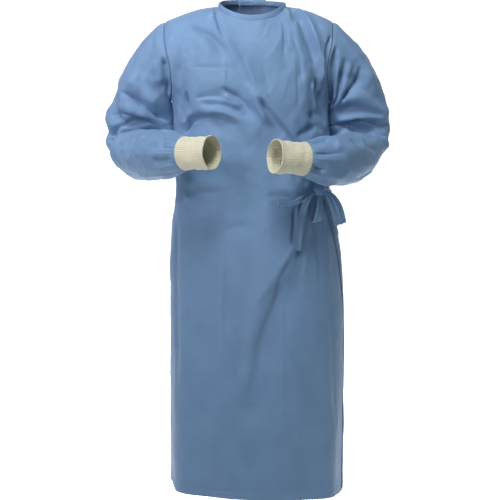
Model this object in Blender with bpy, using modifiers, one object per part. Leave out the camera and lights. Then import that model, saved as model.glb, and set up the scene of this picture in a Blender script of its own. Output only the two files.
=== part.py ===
"""A wrap-around surgical gown, hollow and standing as if worn, with both sleeves bent so that
the knitted cuffs meet in front of the waist.

The origin is between the shoulders at the height of the neck's side points, +Z is up, the
front faces -Y and the wearer's left is +X. Every size is in metres.
"""

import math
from collections import namedtuple

import bmesh
import bpy
from mathutils import Vector

# Heights
HEM_Z = -1.198
UNDERARM_Z = -0.230
ARMHOLE_MIDDLE_Z = -0.134
HEM_SLOPE = -0.035
HEM_SLOPE_START = -0.60
HEM_SLOPE_SPAN = 0.60

# The armhole, the shoulder line and the neck
ARMHOLE_HALF_DEPTH = 0.075
SHOULDER_TIP_X = 0.208
SHOULDER_SHIFT = -0.007
SHOULDER_TIP_DROP = 0.038
SHOULDER_CURVE = 1.7
SHOULDER_SEAM_Y = 0.004
SHOULDER_SHARE = 0.25
SHOULDER_FULLNESS = 1.2
NECK_HALF_WIDTH = 0.084
NECK_FRONT_DEPTH = 0.086
NECK_FRONT_DROP = 0.036
NECK_BACK_DEPTH = 0.078
NECK_BACK_RISE = 0.010
NECK_ROUND = 0.9
NECK_DIP_ROUND = 1.4
NECK_EDGE_LEAN = 0.45
NECK_EDGE_RISE = 0.89
FRONT, BACK = -1, 1
RIGHT, LEFT = -1, 1

# Cloth
CLOTH = 0.0015
KNIT = 0.0022
BINDING = 0.0024
STRAP = 0.0012
SEAM_GAP = 0.0004
FOLD_FADE = 0.07
TOP_FADE = 0.25

# The outer flap over the under flap: how far it stands off, and where along the back it starts
LAP = 0.0065
LAP_START_LOW = 0.06
LAP_START_TOP = 0.27
LAP_RAMP = 0.10

# Strips
BINDING_HEIGHT = 0.011
BINDING_PROUD = 0.0004
BINDING_UPRIGHT = 1.2
RIBS = 30
RIB_RISE = 0.0008
CUFF_WAIST = 0.05
GATHERS = 8
GATHER_DEPTH = 0.0024

# Grid lines
BODY_COLUMNS = 36
FLAP_COLUMNS = 16
ARC_ROWS = 6
ROW_HEIGHTS = (
    -1.198, -1.100, -1.000, -0.900, -0.810, -0.730, -0.660, -0.600, -0.550, -0.510,
    -0.482, -0.450, -0.420, -0.390, -0.360, -0.335, -0.315, -0.295, -0.275, -0.252,
)

Section = namedtuple("Section", "z centre_x half_width front back squareness")
BODY = (
    Section(-1.260, 0.007, 0.213, 0.186, 0.170, 2.8),
    Section(-1.198, 0.008, 0.214, 0.184, 0.168, 2.8),
    Section(-1.000, 0.009, 0.216, 0.178, 0.160, 2.6),
    Section(-0.740, 0.009, 0.214, 0.168, 0.150, 2.4),
    Section(-0.560, 0.002, 0.204, 0.156, 0.136, 2.3),
    Section(-0.460, -0.001, 0.190, 0.146, 0.122, 2.3),
    Section(-0.340, -0.001, 0.194, 0.140, 0.116, 2.3),
    Section(-0.230, -0.004, 0.196, 0.137, 0.116, 2.3),
    Section(-0.134, -0.009, 0.233, 0.122, 0.112, 2.3),
)

Edge = namedtuple("Edge", "z share")
OUTER_EDGE = (
    Edge(-1.260, 1.015),
    Edge(-1.000, 1.02),
    Edge(-0.735, 1.035),
    Edge(-0.600, 1.08),
    Edge(-0.520, 1.115),
    Edge(-0.482, 1.13),
    Edge(-0.440, 1.06),
    Edge(-0.400, 0.95),
    Edge(-0.340, 0.82),
    Edge(-0.230, 0.68),
    Edge(-0.134, 0.62),
)
UNDER_EDGE = (
    Edge(-1.260, 0.22),
    Edge(-0.482, 0.22),
    Edge(-0.300, 0.27),
    Edge(-0.134, 0.37),
)
OUTER_EDGE_TOP = 0.5625
UNDER_EDGE_TOP = 0.4375

Fold = namedtuple("Fold", "path width rise")
FRONT_FOLDS = (
    Fold(((-0.074, -0.030), (-0.070, -0.065), (-0.040, -0.110), (-0.022, -0.140),
          (-0.003, -0.192), (0.019, -0.243), (0.049, -0.278), (0.085, -0.315)), 0.020, 0.0075),
    Fold(((-0.098, -0.060), (-0.084, -0.098), (-0.062, -0.140), (-0.040, -0.180),
          (-0.020, -0.225), (0.002, -0.265), (0.030, -0.300)), 0.020, -0.0060),
    Fold(((-0.155, -0.052), (-0.125, -0.060), (-0.098, -0.078), (-0.070, -0.112)), 0.016, -0.0050),
    Fold(((-0.068, -0.212), (-0.030, -0.235), (0.000, -0.270), (0.020, -0.300)), 0.018, -0.0080),
    Fold(((-0.120, -0.258), (-0.075, -0.256), (-0.028, -0.276), (0.005, -0.310)), 0.018, 0.0070),
    Fold(((-0.168, -0.310), (-0.135, -0.290), (-0.085, -0.292)), 0.018, -0.0070),
    Fold(((0.100, -0.040), (0.128, -0.068), (0.142, -0.110), (0.155, -0.155),
          (0.158, -0.200), (0.156, -0.260)), 0.017, -0.0080),
    Fold(((0.120, -0.040), (0.150, -0.075), (0.170, -0.120), (0.178, -0.170)), 0.015, 0.0060),
    Fold(((0.078, -0.060), (0.078, -0.105), (0.084, -0.150)), 0.016, -0.0040),
    Fold(((-0.180, -0.160), (-0.178, -0.220), (-0.172, -0.290)), 0.018, -0.0060),
    Fold(((0.118, -0.545), (0.075, -0.610), (0.018, -0.700), (0.000, -0.800)), 0.026, 0.0065),
    Fold(((0.150, -0.545), (0.120, -0.640), (0.070, -0.760), (0.030, -0.900),
          (0.000, -0.980)), 0.028, -0.0070),
    Fold(((-0.140, -0.430), (-0.080, -0.442), (-0.030, -0.470)), 0.020, 0.0040),
    Fold(((-0.130, -0.480), (-0.070, -0.500), (-0.020, -0.540)), 0.022, -0.0045),
    Fold(((-0.150, -0.560), (-0.160, -0.720), (-0.165, -0.900)), 0.026, 0.0050),
)
BACK_FOLDS = (
    Fold(((-0.070, -0.070), (-0.085, -0.160), (-0.095, -0.300)), 0.026, 0.0060),
    Fold(((0.120, -0.250), (0.060, -0.330), (-0.040, -0.440)), 0.028, 0.0070),
    Fold(((0.165, -0.400), (0.100, -0.470), (-0.010, -0.560)), 0.028, -0.0070),
    Fold(((0.170, -0.520), (0.120, -0.640), (0.080, -0.860)), 0.034, 0.0080),
    Fold(((-0.110, -0.540), (-0.120, -0.800), (-0.125, -1.100)), 0.036, 0.0080),
    Fold(((0.000, -0.600), (0.010, -0.850), (0.005, -1.150)), 0.036, -0.0080),
)
HEM_WAVES = 7
HEM_WAVE_RISE = 0.005
HEM_WAVE_START = -0.65
HEM_WAVE_SPAN = 0.55

Station = namedtuple("Station", "x y z across fore aft")
RIGHT_ARM = (
    Station(-0.277, 0.020, -0.250, 0.074, 0.064, 0.068),
    Station(-0.286, 0.018, -0.290, 0.077, 0.052, 0.074),
    Station(-0.287, 0.004, -0.328, 0.077, 0.047, 0.073),
    Station(-0.279, -0.022, -0.352, 0.073, 0.050, 0.070),
    Station(-0.262, -0.062, -0.362, 0.066, 0.054, 0.064),
    Station(-0.234, -0.112, -0.362, 0.060, 0.056, 0.060),
    Station(-0.198, -0.168, -0.360, 0.054, 0.054, 0.055),
    Station(-0.158, -0.214, -0.357, 0.0400, 0.0400, 0.0400),
    Station(-0.094, -0.252, -0.354, 0.0400, 0.0400, 0.0400),
)
LEFT_ARM = (
    Station(0.266, 0.020, -0.250, 0.070, 0.064, 0.068),
    Station(0.273, 0.018, -0.290, 0.073, 0.052, 0.072),
    Station(0.269, 0.004, -0.326, 0.067, 0.047, 0.070),
    Station(0.261, -0.022, -0.350, 0.061, 0.051, 0.066),
    Station(0.250, -0.062, -0.366, 0.058, 0.055, 0.062),
    Station(0.223, -0.114, -0.373, 0.056, 0.059, 0.062),
    Station(0.176, -0.168, -0.375, 0.054, 0.057, 0.059),
    Station(0.122, -0.210, -0.370, 0.0400, 0.0400, 0.0400),
    Station(0.053, -0.244, -0.363, 0.0400, 0.0400, 0.0400),
)
WRIST = 7.0
SLEEVE_ROWS = (
    -1.0, -0.92, -0.80, -0.66, -0.52, -0.38, -0.24, -0.10, 0.15, 0.6, 1.0, 1.5, 2.0, 2.5,
    3.0, 3.5, 4.0, 4.7, 5.4, 6.0, 6.5, 6.8, 7.0,
)
SLEEVE_FOLDS = {
    RIGHT: (
        Fold(((-0.1, 0.02), (0.4, 0.10), (0.9, 0.18), (1.3, 0.24)), 0.017, -0.0080),
        Fold(((1.4, 0.98), (1.7, 0.06), (1.9, 0.13), (2.0, 0.20)), 0.016, -0.0070),
        Fold(((0.8, 0.00), (1.2, 0.08), (1.6, 0.17)), 0.016, 0.0070),
        Fold(((2.6, 0.95), (2.6, 0.03), (2.3, 0.12)), 0.017, -0.0070),
        Fold(((3.4, 0.95), (3.2, 0.05), (2.8, 0.14)), 0.018, 0.0060),
        Fold(((3.6, 0.20), (4.6, 0.18), (5.6, 0.17)), 0.018, 0.0050),
        Fold(((-0.75, 0.16), (-0.45, 0.21), (-0.1, 0.26)), 0.018, -0.0060),
        Fold(((1.5, 0.80), (2.1, 0.74), (2.6, 0.66)), 0.020, -0.0060),
    ),
    LEFT: (
        Fold(((0.7, 0.02), (1.2, 0.10), (1.7, 0.20), (2.0, 0.28)), 0.017, -0.0090),
        Fold(((-0.2, 0.30), (0.2, 0.17), (0.6, 0.06)), 0.020, 0.0080),
        Fold(((-0.65, 0.28), (-0.3, 0.20), (0.1, 0.10)), 0.017, -0.0070),
        Fold(((-0.9, 0.08), (-0.6, 0.11), (-0.2, 0.13)), 0.017, 0.0060),
        Fold(((2.2, 0.98), (2.2, 0.06), (2.1, 0.16)), 0.017, 0.0060),
        Fold(((3.4, 0.08), (4.6, 0.07), (5.8, 0.06)), 0.018, 0.0050),
        Fold(((1.5, 0.80), (2.1, 0.74), (2.6, 0.66)), 0.020, -0.0060),
    ),
}
STATION_LENGTH = 0.050
SLEEVE_ROUND = 0.43
CAP_STRETCH = 4.0
CAP_TURN = 4
UNDERARM_TURN = 76
CAP_FULLNESS = 0.7
ARM_FULLNESS = 0.9
FOREARM_TURN = 0.55

# The bow and the ties
KNOT_PLACE = (0.147, -0.450)
KNOT_SIZE = Vector((0.016, 0.012, 0.014))
KNOT_LIFT = 0.024
TIE_WIDTH = 0.020
TAIL_WIDTH = 0.016
FRONT_LOOP_WIDTH = 0.024
SIDE_LOOP_WIDTH = 0.030
PINCH = 0.40
PINCH_SPAN = 0.3
STRAP_BOW = 0.0015

Rest = namedtuple("Rest", "x z lift")
FRONT_TIE_RESTS = (
    Rest(0.060, -0.480, 0.0022),
    Rest(0.090, -0.480, 0.0022),
    Rest(0.118, -0.468, 0.0100),
)
FRONT_LOOP_RESTS = (
    Rest(0.146, -0.490, 0.031),
    Rest(0.146, -0.513, 0.028),
    Rest(0.146, -0.527, 0.019),
    Rest(0.146, -0.515, 0.010),
    Rest(0.146, -0.490, 0.011),
)
FRONT_TAIL_RESTS = (
    Rest(0.124, -0.474, 0.020),
    Rest(0.116, -0.508, 0.010),
    Rest(0.111, -0.550, 0.006),
    Rest(0.109, -0.594, 0.005),
)
FlapRest = namedtuple("FlapRest", "share z lift")
BACK_TIE_RESTS = (
    FlapRest(1.03, -0.462, 0.0014),
    FlapRest(1.08, -0.462, 0.0014),
)
SIDE_TAIL_RESTS = (
    FlapRest(1.10, -0.500, 0.008),
    FlapRest(1.09, -0.530, 0.006),
    FlapRest(1.08, -0.565, 0.005),
)
Offset = namedtuple("Offset", "x y z")
SIDE_LOOP_OFFSETS = (
    Offset(0.034, -0.014, -0.014),
    Offset(0.048, -0.008, -0.046),
    Offset(0.052, 0.003, -0.074),
    Offset(0.047, 0.014, -0.048),
    Offset(0.034, 0.018, -0.020),
)
BISECTIONS = 30

COLOURS = {
    "cloth": (0.135, 0.245, 0.425, 1.0),
    "binding": (0.115, 0.215, 0.385, 1.0),
    "knit": (0.780, 0.760, 0.640, 1.0),
}
ROUGHNESS = {"cloth": 0.72, "binding": 0.70, "knit": 0.90}


def clamp(value):
    """The value, kept between 0 and 1."""
    return min(1.0, max(0.0, value))


def ease(value):
    """A smooth step from 0 to 1."""
    value = clamp(value)
    return value * value * (3.0 - 2.0 * value)


def mix(a, b, share):
    """Part of the way from a to b."""
    return a + (b - a) * share


def hermite(start, end, start_slope, end_slope, t):
    """A cubic from start to end with the given slopes at t = 0 and t = 1."""
    t2, t3 = t * t, t * t * t
    return (
        start * (2 * t3 - 3 * t2 + 1)
        + start_slope * (t3 - 2 * t2 + t)
        + end * (3 * t2 - 2 * t3)
        + end_slope * (t3 - t2)
    )


def smooth_column(keys, values, at):
    """A smooth curve through a table's column, whose keys rise."""
    last = len(keys) - 1
    i = next((k for k in range(last) if at <= keys[k + 1]), last - 1)

    def slope(k):
        low, high = max(k - 1, 0), min(k + 1, last)
        return (values[high] - values[low]) / (keys[high] - keys[low])

    step = keys[i + 1] - keys[i]
    t = (at - keys[i]) / step
    return hermite(values[i], values[i + 1], slope(i) * step, slope(i + 1) * step, t)


def table_at(table, at):
    """The row of a table at a key between its rows, its first column being the key."""
    keys = [row[0] for row in table]
    rest = [
        smooth_column(keys, [row[c] for row in table], at) for c in range(1, len(table[0]))
    ]
    return type(table[0])(at, *rest)


def path_distance(path, point):
    """The distance from a flat point to a line of straight runs."""
    nearest = math.inf
    for (ax, ay), (bx, by) in zip(path, path[1:]):
        dx, dy = bx - ax, by - ay
        t = clamp(((point[0] - ax) * dx + (point[1] - ay) * dy) / (dx * dx + dy * dy))
        nearest = min(nearest, math.hypot(point[0] - ax - t * dx, point[1] - ay - t * dy))
    return nearest


def fold_rise(folds, point):
    """How far soft ridges and troughs move the cloth at a flat point."""
    return sum(
        fold.rise * math.exp(-((path_distance(fold.path, point) / fold.width) ** 2))
        for fold in folds
    )


def signed_power(value, power):
    """A power of the value's size, with the value's sign."""
    return math.copysign(abs(value) ** power, value)


def ring_point(angle, z):
    """A point of the body's level section. Angle 0 is the wearer's left and 90 degrees the back."""
    section = table_at(BODY, z)
    across, deep = math.cos(angle), math.sin(angle)
    depth = section.back if deep > 0 else section.front
    power = 2 / section.squareness
    x = section.centre_x + section.half_width * signed_power(across, power)
    y = depth * signed_power(deep, power)
    return Vector((x, y, z + HEM_SLOPE * x * ease((HEM_SLOPE_START - z) / HEM_SLOPE_SPAN)))


def ring_place(half, s, v):
    """(angle, height) on the body's rings, for v up to 2, the armhole's middle."""
    if v <= 1:
        z, end = mix(HEM_Z, UNDERARM_Z, v), 0.0
    else:
        turn = (v - 1) * math.pi / 2
        z = ARMHOLE_MIDDLE_Z - (ARMHOLE_MIDDLE_Z - UNDERARM_Z) * math.cos(turn)
        section = table_at(BODY, z)
        depth = section.back if half == BACK else section.front
        share = ARMHOLE_HALF_DEPTH * math.sin(turn) / depth
        end = math.asin(share ** (section.squareness / 2))
    span = math.pi - 2 * end
    return (math.pi - half * (end + s * span)), z


def top_edge(half, s):
    """(point, direction) where a panel ends at the shoulder seam or the neck."""
    across = Vector((0.0, -half, 0.0))
    side = LEFT if s > 0.5 else RIGHT
    near = 1.0 - s if s > 0.5 else s
    if near <= SHOULDER_SHARE:
        share = near / SHOULDER_SHARE
        x = mix(side * SHOULDER_TIP_X + SHOULDER_SHIFT, side * NECK_HALF_WIDTH, share)
        z = -SHOULDER_TIP_DROP * (1 - share) ** SHOULDER_CURVE
        return Vector((x, SHOULDER_SEAM_Y, z)), across
    turn = math.pi * (s - SHOULDER_SHARE) / (1 - 2 * SHOULDER_SHARE)
    reach = math.sin(turn)
    depth = NECK_FRONT_DEPTH if half == FRONT else NECK_BACK_DEPTH
    rise = -NECK_FRONT_DROP if half == FRONT else NECK_BACK_RISE
    point = Vector(
        (
            -NECK_HALF_WIDTH * math.cos(turn),
            SHOULDER_SEAM_Y + half * depth * reach**NECK_ROUND,
            rise * reach**NECK_DIP_ROUND,
        )
    )
    upward = Vector((0.0, -half * NECK_EDGE_LEAN, NECK_EDGE_RISE))
    return point, mix(across, upward, ease(reach)).normalized()


def body_base(half, s, v):
    """A point of the smooth body: s runs from the wearer's right, 0, to the left, 1, and v from
    the hem, 0, to the underarm, 1, the armhole's middle, 2, and the shoulder or neck, 3."""
    if v <= 2:
        return ring_point(*ring_place(half, s, v))
    angle, z = ring_place(half, s, 2)
    low = ring_point(angle, z)
    top, direction = top_edge(half, s)
    length = (top - low).length
    rise = (low - ring_point(angle, z - 0.004)).normalized()
    return hermite(low, top, rise * length * SHOULDER_FULLNESS, direction * length, v - 2)


def body_normal(half, s, v):
    """The body's outward direction."""
    step = 0.004
    if v <= 2:
        angle, z = ring_place(half, s, v)
        along = ring_point(angle + step, z) - ring_point(angle - step, z)
        up = ring_point(angle, z) - ring_point(angle, z - step)
        return along.cross(up).normalized()
    inner = min(max(s, step), 1 - step)
    lower = min(v, 3 - step)
    along = body_base(half, inner + step, lower) - body_base(half, inner - step, lower)
    up = body_base(half, inner, lower + step) - body_base(half, inner, lower - step)
    return (-half * along.cross(up)).normalized()


def body_point(half, s, v, lift=0.0):
    """A point of the cloth, folds included. A lift moves it outwards, over another panel."""
    base = body_base(half, s, v)
    angle = ring_place(half, s, min(v, 2))[0]
    front = half * math.sin(math.pi * s) < 0
    folds = FRONT_FOLDS if front else BACK_FOLDS
    edge = ease(min(abs(s), abs(1 - s)) / FOLD_FADE) * ease((3 - v) / TOP_FADE)
    wave = HEM_WAVE_RISE * math.sin(HEM_WAVES * angle)
    wave *= ease((HEM_WAVE_START - base.z) / HEM_WAVE_SPAN)
    rise = fold_rise(folds, (base.x, base.z)) * edge + wave
    return base + body_normal(half, s, v) * (rise + lift)


def height_share(z):
    """The v of a height below the underarm."""
    return (z - HEM_Z) / (UNDERARM_Z - HEM_Z)


def body_rows():
    """The v of each row of a body panel, from the hem to the top."""
    lower = [height_share(z) for z in ROW_HEIGHTS]
    return lower + [1 + k / ARC_ROWS for k in range(2 * ARC_ROWS + 1)]


def edge_share(table, top_share, v):
    """Where a back flap's free edge runs, as a share of the back from the right side seam."""
    z = ring_place(BACK, 0.5, min(v, 2))[1]
    return mix(table_at(table, z).share, top_share, ease(v - 2))


def outer_lift(s, v):
    """How far the outer flap stands over the under flap."""
    start = mix(LAP_START_LOW, LAP_START_TOP, clamp((v - 1) / 2))
    return LAP * ease((s - start) / LAP_RAMP)


def front_point(c, v):
    """A point of the front panel: c runs from the right side seam to the left one."""
    return body_point(FRONT, c, v)


def outer_back_point(c, v):
    """A point of the outer flap: c runs from the right side seam to the free edge."""
    s = c * edge_share(OUTER_EDGE, OUTER_EDGE_TOP, v)
    return body_point(BACK, s, v, outer_lift(s, v))


def under_back_point(c, v):
    """A point of the under flap: c runs from the left side seam to the free edge."""
    s = mix(1.0, edge_share(UNDER_EDGE, UNDER_EDGE_TOP, v), c)
    return body_point(BACK, s, v)


def side_gap(point_at, inwards):
    """The same panel with its side seam moved in by the seam's gap, and its top down by it."""

    def moved(c, v):
        point = point_at(c, v)
        if c in inwards:
            point += (point_at(abs(c - 0.03), v) - point).normalized() * SEAM_GAP * 1.5
        if v == 3:
            point += (point_at(c, 2.97) - point).normalized() * SEAM_GAP
        return point

    return moved


def armhole(side, q):
    """(point, start direction) of the armhole's edge: q runs from the shoulder tip, 0, over
    the front, 0.25, to the underarm, 0.5, and up the back, 0.75."""
    s = 0.0 if side == RIGHT else 1.0
    half = FRONT if q <= 0.5 else BACK
    v = 3 - 4 * q if q <= 0.5 else 4 * q - 1
    step = 0.02
    point = body_base(half, s, v)
    ahead = body_base(half, s, min(v + step, 3))
    behind = body_base(half, s, max(v - step, 1))
    along = (ahead - behind).normalized()
    normal = body_normal(half, s, v)
    inside = along.cross(normal).normalized()
    centre = Vector((side * SHOULDER_TIP_X, 0.0, ARMHOLE_MIDDLE_Z))
    if inside.dot(centre - point) < 0:
        inside = -inside
    turn = math.radians(CAP_TURN + UNDERARM_TURN * math.sin(math.pi * q) ** 6)
    return point, (inside * math.cos(turn) + normal * math.sin(turn)).normalized()


def arm_frame(side, w):
    """(section, tangent, outward, fore) of the sleeve's middle line at station w."""
    arm = RIGHT_ARM if side == RIGHT else LEFT_ARM
    keyed = [(k, *row) for k, row in enumerate(arm)]

    def place(at):
        return Vector(
            [smooth_column(range(len(arm)), [row[c] for row in keyed], at) for c in (1, 2, 3)]
        )

    radii = [smooth_column(range(len(arm)), [row[c] for row in keyed], w) for c in (4, 5, 6)]
    tangent = (place(w + 0.05) - place(w - 0.05)).normalized()
    forward = FOREARM_TURN * ease((w - 1.5) / 3)
    outward = Vector((side, -forward, 0.0))
    outward = (outward - tangent * outward.dot(tangent)).normalized()
    fore = tangent.cross(outward) * side
    return place(w), radii, tangent, outward, fore


def section_point(side, w, q):
    """A point of the sleeve's plain section at station w."""
    centre, (across, fore_reach, aft_reach), _, outward, fore = arm_frame(side, w)
    turn = 2 * math.pi * q
    reach = fore_reach if math.sin(turn) > 0 else aft_reach
    return centre + outward * across * math.cos(turn) + fore * reach * math.sin(turn)


def sleeve_base(side, w, q):
    """A point of the sleeve: w runs from the armhole, -1, over the arm's stations, 0 on."""
    if w >= 0:
        return section_point(side, w, q)
    start, direction = armhole(side, q)
    start = start + direction * SEAM_GAP
    end = section_point(side, 0.0, q)
    tangent = arm_frame(side, 0.0)[2]
    length = (end - start).length
    leaving = direction * length * CAP_FULLNESS
    return hermite(start, end, leaving, tangent * length * ARM_FULLNESS, w + 1)


def sleeve_length(w):
    """The length along a sleeve from its first station, less above it where w counts more."""
    return w * STATION_LENGTH * (CAP_STRETCH if w < 0 else 1.0)


def sleeve_point(side, w, q):
    """A point of the sleeve with its folds, and the gathers above the cuff."""
    base = sleeve_base(side, w, q)
    step = 0.01
    low, high = max(w - step, -1), min(w + step, WRIST)
    along = sleeve_base(side, high, q) - sleeve_base(side, low, q)
    around = sleeve_base(side, w, (q + step) % 1) - sleeve_base(side, w, (q - step) % 1)
    normal = (around.cross(along) * side).normalized()
    rise = 0.0
    for shift in (-1, 0, 1):
        place = (sleeve_length(w), (q + shift) * SLEEVE_ROUND)
        scaled = [
            Fold(
                [(sleeve_length(a), (b - (b > 0.9)) * SLEEVE_ROUND) for a, b in fold.path],
                fold.width,
                fold.rise,
            )
            for fold in SLEEVE_FOLDS[side]
        ]
        rise += fold_rise(scaled, place)
    rise *= ease((w + 1) / 0.25) * ease((WRIST - w) / 0.8)
    rise *= 1 - 0.8 * math.exp(-(((q - 0.5) / 0.12) ** 2))
    gather = GATHER_DEPTH * math.cos(2 * math.pi * GATHERS * q)
    rise += gather * ease((w - 5.4) / 0.9) * ease((WRIST - w) / 0.35)
    return base + normal * rise


def make_material(name):
    """A plain material with the colour and roughness of one kind of cloth."""
    material = bpy.data.materials.new(name)
    material.use_nodes = True
    shader = material.node_tree.nodes["Principled BSDF"]
    shader.inputs["Base Color"].default_value = COLOURS[name]
    shader.inputs["Roughness"].default_value = ROUGHNESS[name]
    shader.inputs["Metallic"].default_value = 0.0
    return material


def finish_object(mesh_data, name, material):
    """Links a mesh as a named, smooth shaded object of the gown."""
    mesh = bpy.data.meshes.new(name)
    mesh_data.to_mesh(mesh)
    mesh_data.free()
    mesh.shade_smooth()
    mesh.materials.append(material)
    obj = bpy.data.objects.new(name, mesh)
    gown.objects.link(obj)
    return obj


def cloth_sheet(name, material, point_at, columns, rows, thickness=CLOTH, flip=False):
    """An open sheet shaped by point_at(column, row), given its thickness on the inner side."""
    sheet = bmesh.new()
    across, along = len(columns) - 1, len(rows) - 1
    bmesh.ops.create_grid(sheet, x_segments=across, y_segments=along, size=1.0)
    for vert in sheet.verts:
        column = columns[round((vert.co.x + 1) / 2 * across)]
        row = rows[round((vert.co.y + 1) / 2 * along)]
        vert.co = point_at(column, row)
    bmesh.ops.remove_doubles(sheet, verts=sheet.verts, dist=1e-6)
    if flip:
        bmesh.ops.reverse_faces(sheet, faces=sheet.faces)
    obj = finish_object(sheet, name, material)
    wall = obj.modifiers.new("Wall", "SOLIDIFY")
    wall.thickness = thickness
    wall.offset = -1.0
    wall.use_quality_normals = True
    return obj


def shares(count):
    """Even steps from 0 to 1."""
    return [k / count for k in range(count + 1)]


def make_body(materials):
    """The front panel and the two back flaps."""
    rows = body_rows()
    cloth = materials["cloth"]
    front = side_gap(front_point, (0.0, 1.0))
    cloth_sheet("front", cloth, front, shares(BODY_COLUMNS), rows)
    outer = side_gap(outer_back_point, ())
    cloth_sheet("back_right", cloth, outer, shares(FLAP_COLUMNS), rows, flip=True)
    under = side_gap(under_back_point, ())
    cloth_sheet("back_left", cloth, under, shares(FLAP_COLUMNS), rows)


def make_sleeves(materials):
    """Two sleeves, each in one piece from the armhole to the cuff's seam."""
    around = shares(4 * ARC_ROWS)
    for side, name in ((RIGHT, "sleeve_right"), (LEFT, "sleeve_left")):

        def point_at(q, w, side=side):
            return sleeve_point(side, w, q % 1)

        flip = side == LEFT
        cloth_sheet(name, materials["cloth"], point_at, around, SLEEVE_ROWS, flip=flip)


def make_cuffs(materials):
    """Knitted tubes whose ribs stand out of a plain inside."""
    profile = [(w, 0.0) for w in (0.0, 0.12, 0.55, 1.0)]
    profile += [(w, KNIT) for w, _ in reversed(profile)]
    profile += profile[:1]
    steps = 2 * RIBS
    for side, name in ((RIGHT, "cuff_right"), (LEFT, "cuff_left")):
        cuff = bmesh.new()
        rows = len(profile) - 1
        bmesh.ops.create_grid(cuff, x_segments=steps, y_segments=rows, size=1.0)
        for vert in cuff.verts:
            k = round((vert.co.x + 1) / 2 * steps) % steps
            along, inwards = profile[round((vert.co.y + 1) / 2 * rows)]
            centre, (radius, _, _), tangent, outward, fore = arm_frame(side, WRIST + along)
            centre = centre + tangent * (SEAM_GAP if along == 0 else 0.0)
            turn = 2 * math.pi * k / steps
            rib = RIB_RISE if k % 2 and not inwards else 0.0
            reach = radius * (1 - CUFF_WAIST * math.sin(math.pi * along))
            reach += rib - RIB_RISE - inwards
            vert.co = centre + (outward * math.cos(turn) + fore * math.sin(turn)) * reach
        bmesh.ops.remove_doubles(cuff, verts=cuff.verts, dist=1e-6)
        bmesh.ops.recalc_face_normals(cuff, faces=cuff.faces)
        finish_object(cuff, name, materials["knit"])


def neck_path():
    """(point, outward, up) along the neck's edge, from the under flap's end round the wearer's
    left, the front and the right to the outer flap's end, which lies over the start."""
    half_flap = FLAP_COLUMNS // 2
    seam_column = round(SHOULDER_SHARE * BODY_COLUMNS)
    left = [mix(1.0, UNDER_EDGE_TOP, c) for c in reversed(shares(FLAP_COLUMNS)[half_flap + 1 :])]
    right = [OUTER_EDGE_TOP * c for c in shares(FLAP_COLUMNS)[half_flap:]]
    places = [(BACK, s, 0.0) for s in left]
    across_front = range(BODY_COLUMNS - seam_column, seam_column - 1, -1)
    places += [(FRONT, k / BODY_COLUMNS, 0.0) for k in across_front]
    places += [(BACK, s, outer_lift(s, 3.0)) for s in right if s > SHOULDER_SHARE + 0.01]
    found = []
    for half, s, lift in places:
        point = body_point(half, s, 3.0, lift)
        slope = (point - body_point(half, s, 2.96, lift)).normalized()
        normal = body_normal(half, s, 3.0)
        around = slope.cross(normal).normalized()
        up = (slope + Vector((0.0, 0.0, BINDING_UPRIGHT))).normalized()
        up = (up - around * up.dot(around)).normalized()
        found.append((point, up.cross(around).normalized() * -1, up))
    return found


def make_neck(materials):
    """The binding that stands along the neck's edge."""
    path = neck_path()

    def point_at(c, row):
        point, outward, up = path[round(c * (len(path) - 1))]
        return point + outward * BINDING_PROUD + up * (SEAM_GAP + row * BINDING_HEIGHT)

    columns = shares(len(path) - 1)
    binding = materials["binding"]
    cloth_sheet("neck_binding", binding, point_at, columns, (0.0, 0.5, 1.0), BINDING, True)


def knot_centre():
    """The middle of the bow's knot."""
    return on_front(*KNOT_PLACE, KNOT_LIFT)[0]


def knot_side(degrees, depth, clear=0.0003):
    """A place just off the knot: degrees round it as seen from the front, depth backwards."""
    turn = math.radians(degrees)
    direction = Vector((math.cos(turn), depth, math.sin(turn))).normalized()
    off = Vector([size * 1.04 + clear for size in KNOT_SIZE])
    return knot_centre() + Vector([d * o for d, o in zip(direction, off)])


def strap(name, material, route, facings, width, count, pinched=(0,), flip=False):
    """A flat strap along a smooth route. Its face turns from facing to facing along the route,
    and it is pinched narrow at the ends that the knot holds."""
    keys = range(len(route))

    def column(points, t):
        return Vector([smooth_column(keys, [p[c] for p in points], t) for c in range(3)])

    def point_at(c, row):
        t = c * (len(route) - 1)
        low, high = max(t - 0.02, 0.0), min(t + 0.02, len(route) - 1)
        along = (column(route, high) - column(route, low)).normalized()
        facing = column(facings, t)
        across = along.cross(facing).normalized()
        near = min([abs(c - end) for end in pinched] + [1.0])
        narrow = mix(PINCH, 1.0, ease(near / PINCH_SPAN))
        bow = across.cross(along) * STRAP_BOW * (1 - (2 * row - 1) ** 2) * narrow
        return column(route, t) + across * (row - 0.5) * width * narrow + bow

    return cloth_sheet(name, material, point_at, shares(count), shares(2), STRAP, flip)


def on_front(x, z, lift):
    """(point, normal) over the front panel at a place seen from the front."""
    v = height_share(z)
    low, high = 0.5, 1.0
    for _ in range(BISECTIONS):
        s = (low + high) / 2
        if body_base(FRONT, s, v).x < x:
            low = s
        else:
            high = s
    return body_point(FRONT, s, v, lift), body_normal(FRONT, s, v)


def on_flap(s, z, lift):
    """(point, normal) over the outer flap, where s goes past 1 over the wearer's left side."""
    v = height_share(z)
    return body_point(BACK, s, v, LAP + lift), body_normal(BACK, s, v)


def make_ties(materials):
    """The front tie and the belt from the outer flap's edge, which meet in the knot."""
    ties = (
        ("tie_front", on_front, FRONT_TIE_RESTS, knot_side(190, 0.3, -0.0003), 8, True),
        ("tie_back", on_flap, BACK_TIE_RESTS, knot_side(8, 1.0, -0.0001), 7, False),
    )
    for name, over, rests, end, count, flip in ties:
        places = [over(*rest) for rest in rests]
        route = [point for point, _ in places] + [end]
        facings = [normal for _, normal in places] + [places[-1][1]]
        strap(name, materials["cloth"], route, facings, TIE_WIDTH, count, (1,), flip)


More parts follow.
